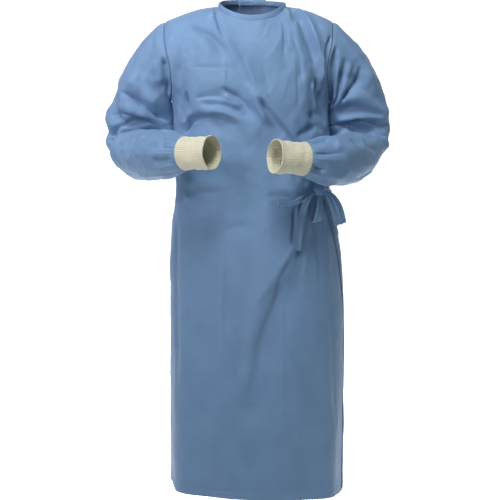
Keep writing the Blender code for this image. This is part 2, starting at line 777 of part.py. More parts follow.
def make_knot(cloth):
    knot = bmesh.new()
    bmesh.ops.create_icosphere(knot, subdivisions=2, radius=1.0)
    for vert in knot.verts:
        reach = Vector([c * size for c, size in zip(vert.co, KNOT_SIZE)])
        vert.co = knot_centre() + reach
    finish_object(knot, "bow_knot", cloth)


def make_loops(cloth):
    """Two loops that hang from the knot, each out in front and back behind."""
    ahead = Vector((0.0, -1.0, 0.0))
    round_end = Vector((0.3, 0.0, -1.0)).normalized()
    hanging = [knot_centre() + Vector(offset) for offset in SIDE_LOOP_OFFSETS]
    route = [knot_side(-10, -0.7)] + hanging + [knot_side(-24, 0.7)]
    facings = [ahead] * 3 + [round_end] + [-ahead] * 3
    strap("bow_loop_side", cloth, route, facings, SIDE_LOOP_WIDTH, 18, (0, 1), True)

    places = [on_front(*rest) for rest in FRONT_LOOP_RESTS]
    hanging = [point for point, _ in places]
    route = [knot_side(-92, -0.7)] + hanging + [knot_side(-88, 0.6, 0.0040)]
    outward = places[0][1]
    facings = [outward] * 3 + [Vector((0.0, 0.0, -1.0))] + [-outward] * 3
    strap("bow_loop_front", cloth, route, facings, FRONT_LOOP_WIDTH, 20, (0, 1), True)


def make_tails(cloth):
    """Two loose ends, one over the front panel and one over the outer flap."""
    tails = (
        ("bow_tail_front", on_front, FRONT_TAIL_RESTS, knot_side(-150, -0.7), 14),
        ("bow_tail_side", on_flap, SIDE_TAIL_RESTS, knot_side(-55, 1.4), 10),
    )
    for name, over, rests, start, count in tails:
        places = [over(*rest) for rest in rests]
        route = [start] + [point for point, _ in places]
        facings = [places[0][1]] + [normal for _, normal in places]
        strap(name, cloth, route, facings, TAIL_WIDTH, count, flip=True)


def main():
    for obj in list(bpy.data.objects):
        bpy.data.objects.remove(obj)
    materials = {name: make_material(name) for name in COLOURS}
    make_body(materials)
    make_sleeves(materials)
    make_cuffs(materials)
    make_neck(materials)
    make_ties(materials)
    make_knot(materials["cloth"])
    make_loops(materials["cloth"])
    make_tails(materials["cloth"])


gown = bpy.data.collections.new("surgical_gown")
bpy.context.scene.collection.children.link(gown)
main()
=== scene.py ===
"""The looks of a surgical gown that stands hollow as if worn: creased nonwoven cloth, rib knit
cuffs, a folded neck binding, ties with a bow, the stitching, and a plain studio round it."""

import math
from collections import namedtuple

import bmesh
import bpy
import numpy as np
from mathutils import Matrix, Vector
from mathutils.kdtree import KDTree


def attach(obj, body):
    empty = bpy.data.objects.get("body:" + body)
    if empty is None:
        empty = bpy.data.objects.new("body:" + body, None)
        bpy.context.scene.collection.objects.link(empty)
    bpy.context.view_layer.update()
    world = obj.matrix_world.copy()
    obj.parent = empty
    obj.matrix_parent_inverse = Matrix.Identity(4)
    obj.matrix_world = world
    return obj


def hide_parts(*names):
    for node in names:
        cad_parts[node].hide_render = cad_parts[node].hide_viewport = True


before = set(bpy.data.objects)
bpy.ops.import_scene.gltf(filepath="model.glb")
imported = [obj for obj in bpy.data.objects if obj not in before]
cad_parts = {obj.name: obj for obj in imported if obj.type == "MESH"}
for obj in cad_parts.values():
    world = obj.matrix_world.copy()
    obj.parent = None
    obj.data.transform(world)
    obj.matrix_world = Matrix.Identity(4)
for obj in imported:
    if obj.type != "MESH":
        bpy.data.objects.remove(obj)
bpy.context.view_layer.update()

bl_info = {
    "name": "Surgical gown",
    "version": (1, 0, 0),
    "blender": (4, 5, 0),
    "location": "3D View > Sidebar > Gown",
    "description": "Builds a worn surgical gown in nonwoven cloth with knitted cuffs",
    "category": "Add Mesh",
}

# Heights, the armhole, the shoulder line and the neck, in metres
HEM_Z = -1.198
UNDERARM_Z = -0.230
ARMHOLE_MIDDLE_Z = -0.134
HEM_SLOPE = -0.035
HEM_SLOPE_START = -0.60
HEM_SLOPE_SPAN = 0.60
ARMHOLE_HALF_DEPTH = 0.075
SHOULDER_TIP_X = 0.208
SHOULDER_SHIFT = -0.007
SHOULDER_TIP_DROP = 0.038
SHOULDER_CURVE = 1.7
SHOULDER_SEAM_Y = 0.004
SHOULDER_SHARE = 0.25
SHOULDER_FULLNESS = 1.2
NECK_HALF_WIDTH = 0.084
NECK_FRONT_DEPTH = 0.086
NECK_FRONT_DROP = 0.036
NECK_BACK_DEPTH = 0.078
NECK_BACK_RISE = 0.010
NECK_ROUND = 0.9
NECK_DIP_ROUND = 1.4
NECK_EDGE_LEAN = 0.45
NECK_EDGE_RISE = 0.89
NECK_LEAN = 0.22
FRONT, BACK = -1, 1
RIGHT, LEFT = -1, 1

# Seams and laps
SEAM_GAP = 0.0004
FOLD_FADE = 0.07
TOP_FADE = 0.25
CREASE_FADE = 0.020
CREASE_DEPTH = 2.2
RIDGE_LIMIT = 0.0075
TROUGH_LIMIT = 0.018
SEAM_ROLL = 0.0016
SEAM_ROLL_WIDTH = 0.0035
HEM_DEPTH = 0.024
HEM_STEP = 0.0006
LAP = 0.0065
LAP_START_LOW = 0.06
LAP_START_TOP = 0.27
LAP_RAMP = 0.10
FLAP_HUG = 0.0050
SIDE_RISE = 0.0045
SIDE_WIDTH = 0.060
SIDE_TOP = -0.50
HEM_DROP_LEFT = 0.011
HEM_RISE_RIGHT = 0.006
FLAP_HUG_WIDTH = 0.030
HEM_WAVES = 7
HEM_WAVE_RISE = 0.005
HEM_WAVE_START = -0.65
HEM_WAVE_SPAN = 0.55

# Grid lines of the cloth
ARM_QUARTER = 42
HEM_ROWS = 14
SKIRT_ROWS = 78
WAIST_ROWS = 84
HEM_ROWS_TOP = -1.170
WAIST_ROWS_START = -0.62
EDGE_COLUMNS = 5
EDGE_STEP = 0.0022

Section = namedtuple("Section", "z centre_x half_width front back squareness")
BODY = (
    Section(-1.260, 0.007, 0.213, 0.186, 0.170, 2.8),
    Section(-1.198, 0.008, 0.214, 0.184, 0.168, 2.8),
    Section(-1.000, 0.009, 0.216, 0.178, 0.160, 2.6),
    Section(-0.740, 0.009, 0.214, 0.168, 0.150, 2.4),
    Section(-0.560, 0.002, 0.204, 0.156, 0.136, 2.3),
    Section(-0.460, -0.001, 0.190, 0.146, 0.122, 2.3),
    Section(-0.340, -0.001, 0.194, 0.140, 0.116, 2.3),
    Section(-0.230, -0.004, 0.196, 0.137, 0.116, 2.3),
    Section(-0.134, -0.009, 0.233, 0.122, 0.112, 2.3),
)

Edge = namedtuple("Edge", "z share")
OUTER_EDGE = (
    Edge(-1.260, 1.015),
    Edge(-1.000, 1.02),
    Edge(-0.735, 1.035),
    Edge(-0.600, 1.08),
    Edge(-0.520, 1.115),
    Edge(-0.482, 1.13),
    Edge(-0.440, 1.06),
    Edge(-0.400, 0.95),
    Edge(-0.340, 0.82),
    Edge(-0.230, 0.68),
    Edge(-0.134, 0.62),
)
UNDER_EDGE = (
    Edge(-1.260, 0.22),
    Edge(-0.482, 0.22),
    Edge(-0.300, 0.27),
    Edge(-0.134, 0.37),
)
OUTER_EDGE_TOP = 0.5625
UNDER_EDGE_TOP = 0.4375

Station = namedtuple("Station", "x y z across fore aft")
RIGHT_ARM = (
    Station(-0.277, 0.020, -0.250, 0.074, 0.064, 0.068),
    Station(-0.286, 0.018, -0.290, 0.077, 0.052, 0.074),
    Station(-0.287, 0.004, -0.328, 0.077, 0.047, 0.073),
    Station(-0.279, -0.022, -0.352, 0.073, 0.050, 0.070),
    Station(-0.262, -0.062, -0.362, 0.066, 0.054, 0.064),
    Station(-0.234, -0.112, -0.362, 0.060, 0.056, 0.060),
    Station(-0.198, -0.168, -0.360, 0.054, 0.054, 0.055),
    Station(-0.158, -0.214, -0.357, 0.0400, 0.0400, 0.0400),
    Station(-0.094, -0.252, -0.354, 0.0400, 0.0400, 0.0400),
)
LEFT_ARM = (
    Station(0.266, 0.020, -0.250, 0.070, 0.064, 0.068),
    Station(0.273, 0.018, -0.290, 0.073, 0.052, 0.072),
    Station(0.269, 0.004, -0.326, 0.067, 0.047, 0.070),
    Station(0.261, -0.022, -0.350, 0.061, 0.051, 0.066),
    Station(0.250, -0.062, -0.366, 0.058, 0.055, 0.062),
    Station(0.223, -0.114, -0.373, 0.056, 0.059, 0.062),
    Station(0.176, -0.168, -0.375, 0.054, 0.057, 0.059),
    Station(0.122, -0.210, -0.370, 0.0400, 0.0400, 0.0400),
    Station(0.053, -0.244, -0.363, 0.0400, 0.0400, 0.0400),
)
WRIST = 7.0
STATION_LENGTH = 0.050
SLEEVE_ROUND = 0.43
CAP_STRETCH = 4.0
CAP_TURN = 4
UNDERARM_TURN = 76
CAP_FULLNESS = 0.7
ARM_FULLNESS = 0.9
FOREARM_TURN = 0.55
GATHERS = 8
GATHER_DEPTH = 0.0024
INNER_REST = {-1: 0.0150, 1: 0.0145}

# Broad folds: paths in x and z on the body, and in stations and shares round on a sleeve
Fold = namedtuple("Fold", "path width rise")
FRONT_FOLDS = (
    Fold(((-0.074, -0.030), (-0.070, -0.065), (-0.040, -0.110), (-0.022, -0.140),
          (-0.003, -0.192), (0.019, -0.243), (0.049, -0.278), (0.085, -0.315)), 0.020, 0.0075),
    Fold(((-0.098, -0.060), (-0.084, -0.098), (-0.062, -0.140), (-0.040, -0.180),
          (-0.020, -0.225), (0.002, -0.265), (0.030, -0.300), (0.066, -0.340)), 0.020, -0.0060),
    Fold(((-0.155, -0.052), (-0.125, -0.060), (-0.098, -0.078), (-0.070, -0.112)), 0.016, -0.0050),
    Fold(((-0.068, -0.212), (-0.034, -0.233), (-0.010, -0.258)), 0.018, -0.0060),
    Fold(((-0.120, -0.258), (-0.075, -0.256), (-0.028, -0.276), (0.005, -0.310)), 0.018, 0.0070),
    Fold(((-0.168, -0.310), (-0.135, -0.290), (-0.085, -0.292)), 0.018, -0.0070),
    Fold(((0.100, -0.040), (0.128, -0.068), (0.142, -0.110), (0.155, -0.155),
          (0.158, -0.200), (0.156, -0.260)), 0.017, -0.0080),
    Fold(((0.120, -0.040), (0.150, -0.075), (0.170, -0.120), (0.178, -0.170)), 0.015, 0.0060),
    Fold(((0.078, -0.060), (0.078, -0.105), (0.084, -0.150)), 0.016, -0.0040),
    Fold(((-0.180, -0.160), (-0.178, -0.220), (-0.172, -0.290)), 0.018, -0.0060),
    Fold(((0.118, -0.545), (0.075, -0.610), (0.018, -0.700), (0.000, -0.800)), 0.026, 0.0065),
    Fold(((0.150, -0.545), (0.120, -0.640), (0.070, -0.760), (0.030, -0.900),
          (0.000, -0.980)), 0.028, -0.0070),
    Fold(((-0.140, -0.430), (-0.080, -0.442), (-0.030, -0.470)), 0.020, 0.0040),
    Fold(((-0.130, -0.480), (-0.070, -0.500), (-0.020, -0.540)), 0.022, -0.0045),
    Fold(((-0.150, -0.560), (-0.160, -0.720), (-0.165, -0.900)), 0.026, 0.0050),
)
BACK_FOLDS = (
    Fold(((-0.070, -0.070), (-0.085, -0.160), (-0.095, -0.300)), 0.026, 0.0060),
    Fold(((0.120, -0.250), (0.060, -0.330), (-0.040, -0.440)), 0.028, 0.0070),
    Fold(((0.165, -0.400), (0.100, -0.470), (-0.010, -0.560)), 0.028, -0.0070),
    Fold(((0.170, -0.520), (0.120, -0.640), (0.080, -0.860)), 0.034, 0.0080),
    Fold(((-0.110, -0.540), (-0.120, -0.800), (-0.125, -1.100)), 0.036, 0.0080),
    Fold(((0.000, -0.600), (0.010, -0.850), (0.005, -1.150)), 0.036, -0.0080),
)
SLEEVE_FOLDS = {
    RIGHT: (
        Fold(((-0.1, 0.02), (0.4, 0.10), (0.9, 0.18), (1.3, 0.24)), 0.017, -0.0080),
        Fold(((1.4, 0.98), (1.7, 0.06), (1.9, 0.13), (2.0, 0.20)), 0.016, -0.0070),
        Fold(((0.8, 0.00), (1.2, 0.08), (1.6, 0.17)), 0.016, 0.0070),
        Fold(((2.6, 0.95), (2.6, 0.03), (2.3, 0.12)), 0.017, -0.0070),
        Fold(((3.4, 0.95), (3.2, 0.05), (2.8, 0.14)), 0.018, 0.0060),
        Fold(((3.6, 0.20), (4.6, 0.18), (5.6, 0.17)), 0.018, 0.0050),
        Fold(((-0.75, 0.16), (-0.45, 0.21), (-0.1, 0.26)), 0.018, -0.0060),
        Fold(((1.5, 0.80), (2.1, 0.74), (2.6, 0.66)), 0.020, -0.0060),
    ),
    LEFT: (
        Fold(((0.7, 0.02), (1.2, 0.10), (1.7, 0.20), (2.0, 0.28)), 0.017, -0.0090),
        Fold(((-0.2, 0.30), (0.2, 0.17), (0.6, 0.06)), 0.020, 0.0080),
        Fold(((-0.65, 0.28), (-0.3, 0.20), (0.1, 0.10)), 0.017, -0.0070),
        Fold(((-0.9, 0.08), (-0.6, 0.11), (-0.2, 0.13)), 0.017, 0.0060),
        Fold(((2.2, 0.98), (2.2, 0.06), (2.1, 0.16)), 0.017, 0.0060),
        Fold(((3.4, 0.08), (4.6, 0.07), (5.8, 0.06)), 0.018, 0.0050),
        Fold(((1.5, 0.80), (2.1, 0.74), (2.6, 0.66)), 0.020, -0.0060),
    ),
}

# Creases, finer than the folds. The lean makes one side of a crease steeper than the other.
Crease = namedtuple("Crease", "path width rise lean")
FRONT_CREASES = (
    # from the right side of the neck, across the chest
    Crease(((-0.098, 0.014), (-0.091, -0.008), (-0.085, -0.034), (-0.076, -0.064), (-0.061, -0.090)),
           0.0048, -0.0056, 0.3),
    Crease(((-0.097, -0.020), (-0.094, -0.050), (-0.084, -0.085)), 0.0060, 0.0020, 0.0),
    Crease(((-0.058, -0.068), (-0.046, -0.098), (-0.029, -0.130), (-0.015, -0.164),
            (-0.008, -0.188), (0.002, -0.206)), 0.0052, -0.0056, -0.3),
    Crease(((-0.046, -0.080), (-0.032, -0.112), (-0.014, -0.150), (0.002, -0.190)),
           0.0070, 0.0022, 0.2),
    Crease(((0.016, -0.220), (0.034, -0.249), (0.055, -0.278), (0.079, -0.304),
            (0.099, -0.326), (0.116, -0.344)), 0.0074, -0.0150, -0.35),
    Crease(((-0.002, -0.206), (0.010, -0.240), (0.028, -0.270), (0.052, -0.302)),
           0.0065, 0.0042, 0.2),
    Crease(((-0.166, -0.043), (-0.146, -0.056), (-0.126, -0.064), (-0.099, -0.079),
            (-0.080, -0.099), (-0.061, -0.121)), 0.0060, -0.0042, 0.4),
    Crease(((-0.150, -0.048), (-0.120, -0.054), (-0.092, -0.068), (-0.070, -0.092)),
           0.0080, 0.0024, 0.0),
    Crease(((-0.152, -0.078), (-0.140, -0.100), (-0.132, -0.124)), 0.0075, -0.0018, 0.0),
    Crease(((-0.168, -0.070), (-0.166, -0.100), (-0.158, -0.130)), 0.0080, -0.0016, 0.2),
    # the pressed lines from packing
    Crease(((-0.146, -0.152), (-0.102, -0.154), (-0.036, -0.153)), 0.0028, -0.0014, 0.5),
    Crease(((-0.066, -0.112), (-0.065, -0.171), (-0.067, -0.226)), 0.0028, 0.0012, -0.4),
    Crease(((-0.072, -0.420), (-0.070, -0.560), (-0.073, -0.740), (-0.072, -0.960)),
           0.0030, 0.0013, 0.4),
    Crease(((-0.170, -0.764), (-0.080, -0.758), (0.010, -0.757), (0.110, -0.762)),
           0.0030, -0.0013, -0.4),
    Crease(((0.074, -0.690), (0.075, -0.860), (0.073, -1.060)), 0.0030, 0.0009, 0.2),
    Crease(((-0.150, -0.958), (-0.040, -0.962), (0.090, -0.960)), 0.0030, 0.0010, 0.3),
    # the folds that gather over the crossed cuffs
    Crease(((-0.128, -0.238), (-0.104, -0.240), (-0.074, -0.242), (-0.046, -0.252),
            (-0.020, -0.266), (0.004, -0.279)), 0.0068, -0.0068, -0.35),
    Crease(((-0.078, -0.198), (-0.056, -0.210), (-0.036, -0.223), (-0.016, -0.242),
            (0.006, -0.272)), 0.0056, -0.0056, -0.2),
    Crease(((-0.070, -0.216), (-0.044, -0.232), (-0.020, -0.250)), 0.0060, 0.0038, 0.0),
    Crease(((-0.140, -0.228), (-0.112, -0.222), (-0.084, -0.222), (-0.060, -0.230)),
           0.0070, -0.0036, 0.3),
    Crease(((-0.104, -0.257), (-0.073, -0.257), (-0.040, -0.268), (-0.012, -0.284)),
           0.0065, 0.0052, 0.0),
    Crease(((-0.138, -0.275), (-0.104, -0.272), (-0.066, -0.277), (-0.030, -0.296)),
           0.0065, -0.0066, -0.2),
    Crease(((-0.176, -0.312), (-0.160, -0.293), (-0.138, -0.276), (-0.112, -0.266)),
           0.0070, -0.0058, 0.2),
    Crease(((-0.178, -0.290), (-0.160, -0.272), (-0.140, -0.258)), 0.0070, 0.0030, 0.0),
    Crease(((-0.162, -0.205), (-0.167, -0.250), (-0.170, -0.300)), 0.0090, -0.0045, 0.2),
    Crease(((-0.172, -0.090), (-0.177, -0.150), (-0.178, -0.215)), 0.0090, -0.0025, 0.0),
    # from the left side of the neck to the left underarm
    Crease(((0.046, 0.050), (0.063, 0.030), (0.080, 0.010), (0.096, -0.010), (0.112, -0.029),
            (0.124, -0.050), (0.132, -0.072), (0.141, -0.099), (0.150, -0.124),
            (0.159, -0.152)), 0.0074, -0.0190, 0.45),
    Crease(((0.104, 0.002), (0.124, -0.018), (0.139, -0.040), (0.149, -0.066), (0.159, -0.094),
            (0.167, -0.124)), 0.0060, 0.0070, -0.2),
    Crease(((0.070, 0.006), (0.088, -0.022), (0.103, -0.048), (0.112, -0.076)),
           0.0070, 0.0030, 0.2),
    Crease(((0.160, -0.170), (0.165, -0.218), (0.173, -0.256), (0.179, -0.300)),
           0.0060, -0.0060, 0.0),
    Crease(((0.150, -0.180), (0.154, -0.225), (0.162, -0.270)), 0.0060, 0.0030, 0.0),
    Crease(((0.073, -0.037), (0.078, -0.074), (0.078, -0.130)), 0.0042, -0.0030, 0.3),
    Crease(((0.084, -0.050), (0.088, -0.085), (0.088, -0.120)), 0.0050, 0.0014, 0.0),
    Crease(((0.096, -0.070), (0.112, -0.110), (0.120, -0.160), (0.122, -0.205)),
           0.0050, -0.0022, -0.2),
    Crease(((0.107, -0.120), (0.112, -0.180), (0.110, -0.250)), 0.0055, -0.0016, 0.2),
    Crease(((0.137, -0.031), (0.156, -0.048), (0.178, -0.060)), 0.0050, -0.0030, 0.0),
    Crease(((0.143, -0.052), (0.164, -0.072), (0.182, -0.096)), 0.0048, -0.0034, 0.2),
    Crease(((0.196, -0.070), (0.188, -0.092), (0.182, -0.116), (0.179, -0.153),
            (0.176, -0.187)), 0.0052, -0.0055, 0.0),
    Crease(((0.172, -0.120), (0.172, -0.160), (0.168, -0.200)), 0.0050, 0.0040, 0.0),
    Crease(((0.174, -0.200), (0.173, -0.230), (0.178, -0.262), (0.184, -0.300)),
           0.0062, -0.0062, 0.0),
    Crease(((0.138, -0.256), (0.156, -0.285), (0.174, -0.310)), 0.0080, -0.0040, 0.0),
    Crease(((0.106, -0.318), (0.136, -0.306), (0.168, -0.288)), 0.0080, -0.0040, 0.0),
    Crease(((0.024, -0.130), (0.034, -0.183), (0.043, -0.236)), 0.0080, -0.0014, 0.0),
    # the waist and the fall from the knot
    Crease(((0.113, -0.560), (0.098, -0.588), (0.076, -0.622), (0.052, -0.662),
            (0.022, -0.700), (-0.004, -0.728)), 0.0095, 0.0034, 0.35),
    Crease(((0.120, -0.572), (0.100, -0.606), (0.078, -0.640), (0.058, -0.672)),
           0.0070, -0.0026, -0.3),
    Crease(((0.068, -0.650), (0.060, -0.700), (0.045, -0.746), (0.026, -0.790),
            (0.014, -0.840), (0.004, -0.904), (-0.010, -0.960)), 0.0120, -0.0042, 0.45),
    Crease(((-0.026, -0.760), (-0.030, -0.846), (-0.042, -0.940)), 0.0200, -0.0034, 0.0),
    Crease(((0.103, -0.478), (0.101, -0.533), (0.095, -0.585)), 0.0060, -0.0050, 0.3),
    Crease(((0.122, -0.474), (0.119, -0.527), (0.114, -0.586), (0.104, -0.640)),
           0.0060, -0.0040, 0.0),
    Crease(((0.134, -0.472), (0.134, -0.540), (0.132, -0.620), (0.120, -0.700)),
           0.0070, 0.0024, 0.0),
    Crease(((0.150, -0.478), (0.156, -0.546), (0.164, -0.620), (0.166, -0.720)),
           0.0075, -0.0020, 0.2),
    Crease(((0.164, -0.486), (0.176, -0.540), (0.186, -0.600), (0.192, -0.690)),
           0.0075, 0.0020, 0.0),
    Crease(((0.138, -0.440), (0.118, -0.418), (0.092, -0.404)), 0.0070, -0.0036, 0.0),
    Crease(((0.128, -0.462), (0.096, -0.448), (0.056, -0.440)), 0.0065, 0.0026, 0.0),
    Crease(((0.104, -0.470), (0.068, -0.462), (0.030, -0.462)), 0.0060, -0.0028, 0.0),
    Crease(((-0.182, -0.478), (-0.150, -0.487), (-0.118, -0.487), (-0.066, -0.478)),
           0.0050, -0.0013, 0.2),
    Crease(((-0.178, -0.504), (-0.140, -0.513), (-0.100, -0.512), (-0.054, -0.500)),
           0.0055, -0.0012, -0.2),
    Crease(((-0.176, -0.444), (-0.140, -0.452), (-0.096, -0.453), (-0.030, -0.443)),
           0.0055, -0.0014, 0.2),
    Crease(((-0.130, -0.537), (-0.066, -0.541), (-0.008, -0.530)), 0.0080, -0.0016, 0.0),
    Crease(((-0.170, -0.466), (-0.130, -0.470), (-0.084, -0.466)), 0.0060, 0.0018, 0.0),
    Crease(((-0.186, -0.505), (-0.188, -0.620), (-0.186, -0.793), (-0.182, -0.990)),
           0.0140, -0.0034, 0.3),
    Crease(((-0.146, -0.640), (-0.150, -0.780), (-0.142, -0.930)), 0.0180, -0.0022, 0.0),
    Crease(((0.190, -0.700), (0.201, -0.869), (0.204, -1.043)), 0.0140, -0.0026, 0.0),
    Crease(((0.096, -0.840), (0.112, -0.960), (0.118, -1.110)), 0.0220, 0.0028, 0.0),
    Crease(((-0.086, -0.960), (-0.098, -1.060), (-0.104, -1.170)), 0.0200, 0.0026, 0.0),
)
BACK_CREASES = (
    # between the shoulders and down the outer flap
    Crease(((-0.060, -0.020), (-0.066, -0.080), (-0.078, -0.150), (-0.084, -0.235)),
           0.0090, -0.0034, 0.3),
    Crease(((-0.150, -0.060), (-0.132, -0.120), (-0.124, -0.190), (-0.130, -0.270)),
           0.0090, -0.0040, -0.2),
    Crease(((-0.112, -0.050), (-0.110, -0.120), (-0.112, -0.200)), 0.0100, 0.0030, 0.0),
    Crease(((-0.020, -0.060), (0.004, -0.140), (0.030, -0.220)), 0.0090, -0.0028, 0.2),
    Crease(((0.180, -0.300), (0.140, -0.350), (0.090, -0.396), (0.030, -0.436),
            (-0.040, -0.462)), 0.0068, -0.0050, 0.35),
    Crease(((0.186, -0.345), (0.144, -0.392), (0.090, -0.428), (0.040, -0.450)),
           0.0062, 0.0034, 0.0),
    Crease(((0.190, -0.420), (0.150, -0.452), (0.100, -0.474), (0.040, -0.486)),
           0.0060, -0.0046, -0.3),
    Crease(((0.192, -0.470), (0.150, -0.496), (0.096, -0.512), (0.020, -0.530)),
           0.0066, 0.0034, 0.0),
    Crease(((0.190, -0.500), (0.152, -0.540), (0.118, -0.600), (0.100, -0.690)),
           0.0080, -0.0046, 0.3),
    Crease(((0.170, -0.520), (0.160, -0.600), (0.150, -0.720), (0.146, -0.880)),
           0.0120, 0.0040, 0.0),
    Crease(((-0.186, -0.420), (-0.150, -0.440), (-0.104, -0.452), (-0.060, -0.450)),
           0.0070, -0.0034, 0.2),
    Crease(((-0.180, -0.462), (-0.140, -0.474), (-0.090, -0.476)), 0.0070, 0.0026, 0.0),
    Crease(((-0.176, -0.500), (-0.130, -0.512), (-0.076, -0.506)), 0.0070, -0.0028, 0.0),
    Crease(((-0.170, -0.560), (-0.166, -0.700), (-0.172, -0.900)), 0.0150, -0.0040, 0.2),
    Crease(((-0.060, -0.560), (-0.062, -0.720), (-0.056, -0.940), (-0.060, -1.120)),
           0.0160, 0.0044, 0.0),
    Crease(((0.060, -0.600), (0.064, -0.780), (0.074, -0.980)), 0.0160, -0.0038, -0.2),
    # the pressed lines from packing
    Crease(((-0.072, -0.100), (-0.070, -0.400), (-0.072, -0.700), (-0.072, -1.000)),
           0.0030, -0.0013, 0.4),
    Crease(((0.074, -0.240), (0.072, -0.500), (0.074, -0.900)), 0.0030, 0.0012, 0.3),
    Crease(((-0.170, -0.360), (-0.040, -0.356), (0.120, -0.358)), 0.0030, 0.0012, 0.4),
    Crease(((-0.180, -0.760), (0.000, -0.758), (0.180, -0.762)), 0.0030, -0.0013, -0.4),
    Crease(((-0.170, -0.962), (0.000, -0.960), (0.170, -0.962)), 0.0030, 0.0010, 0.3),
)
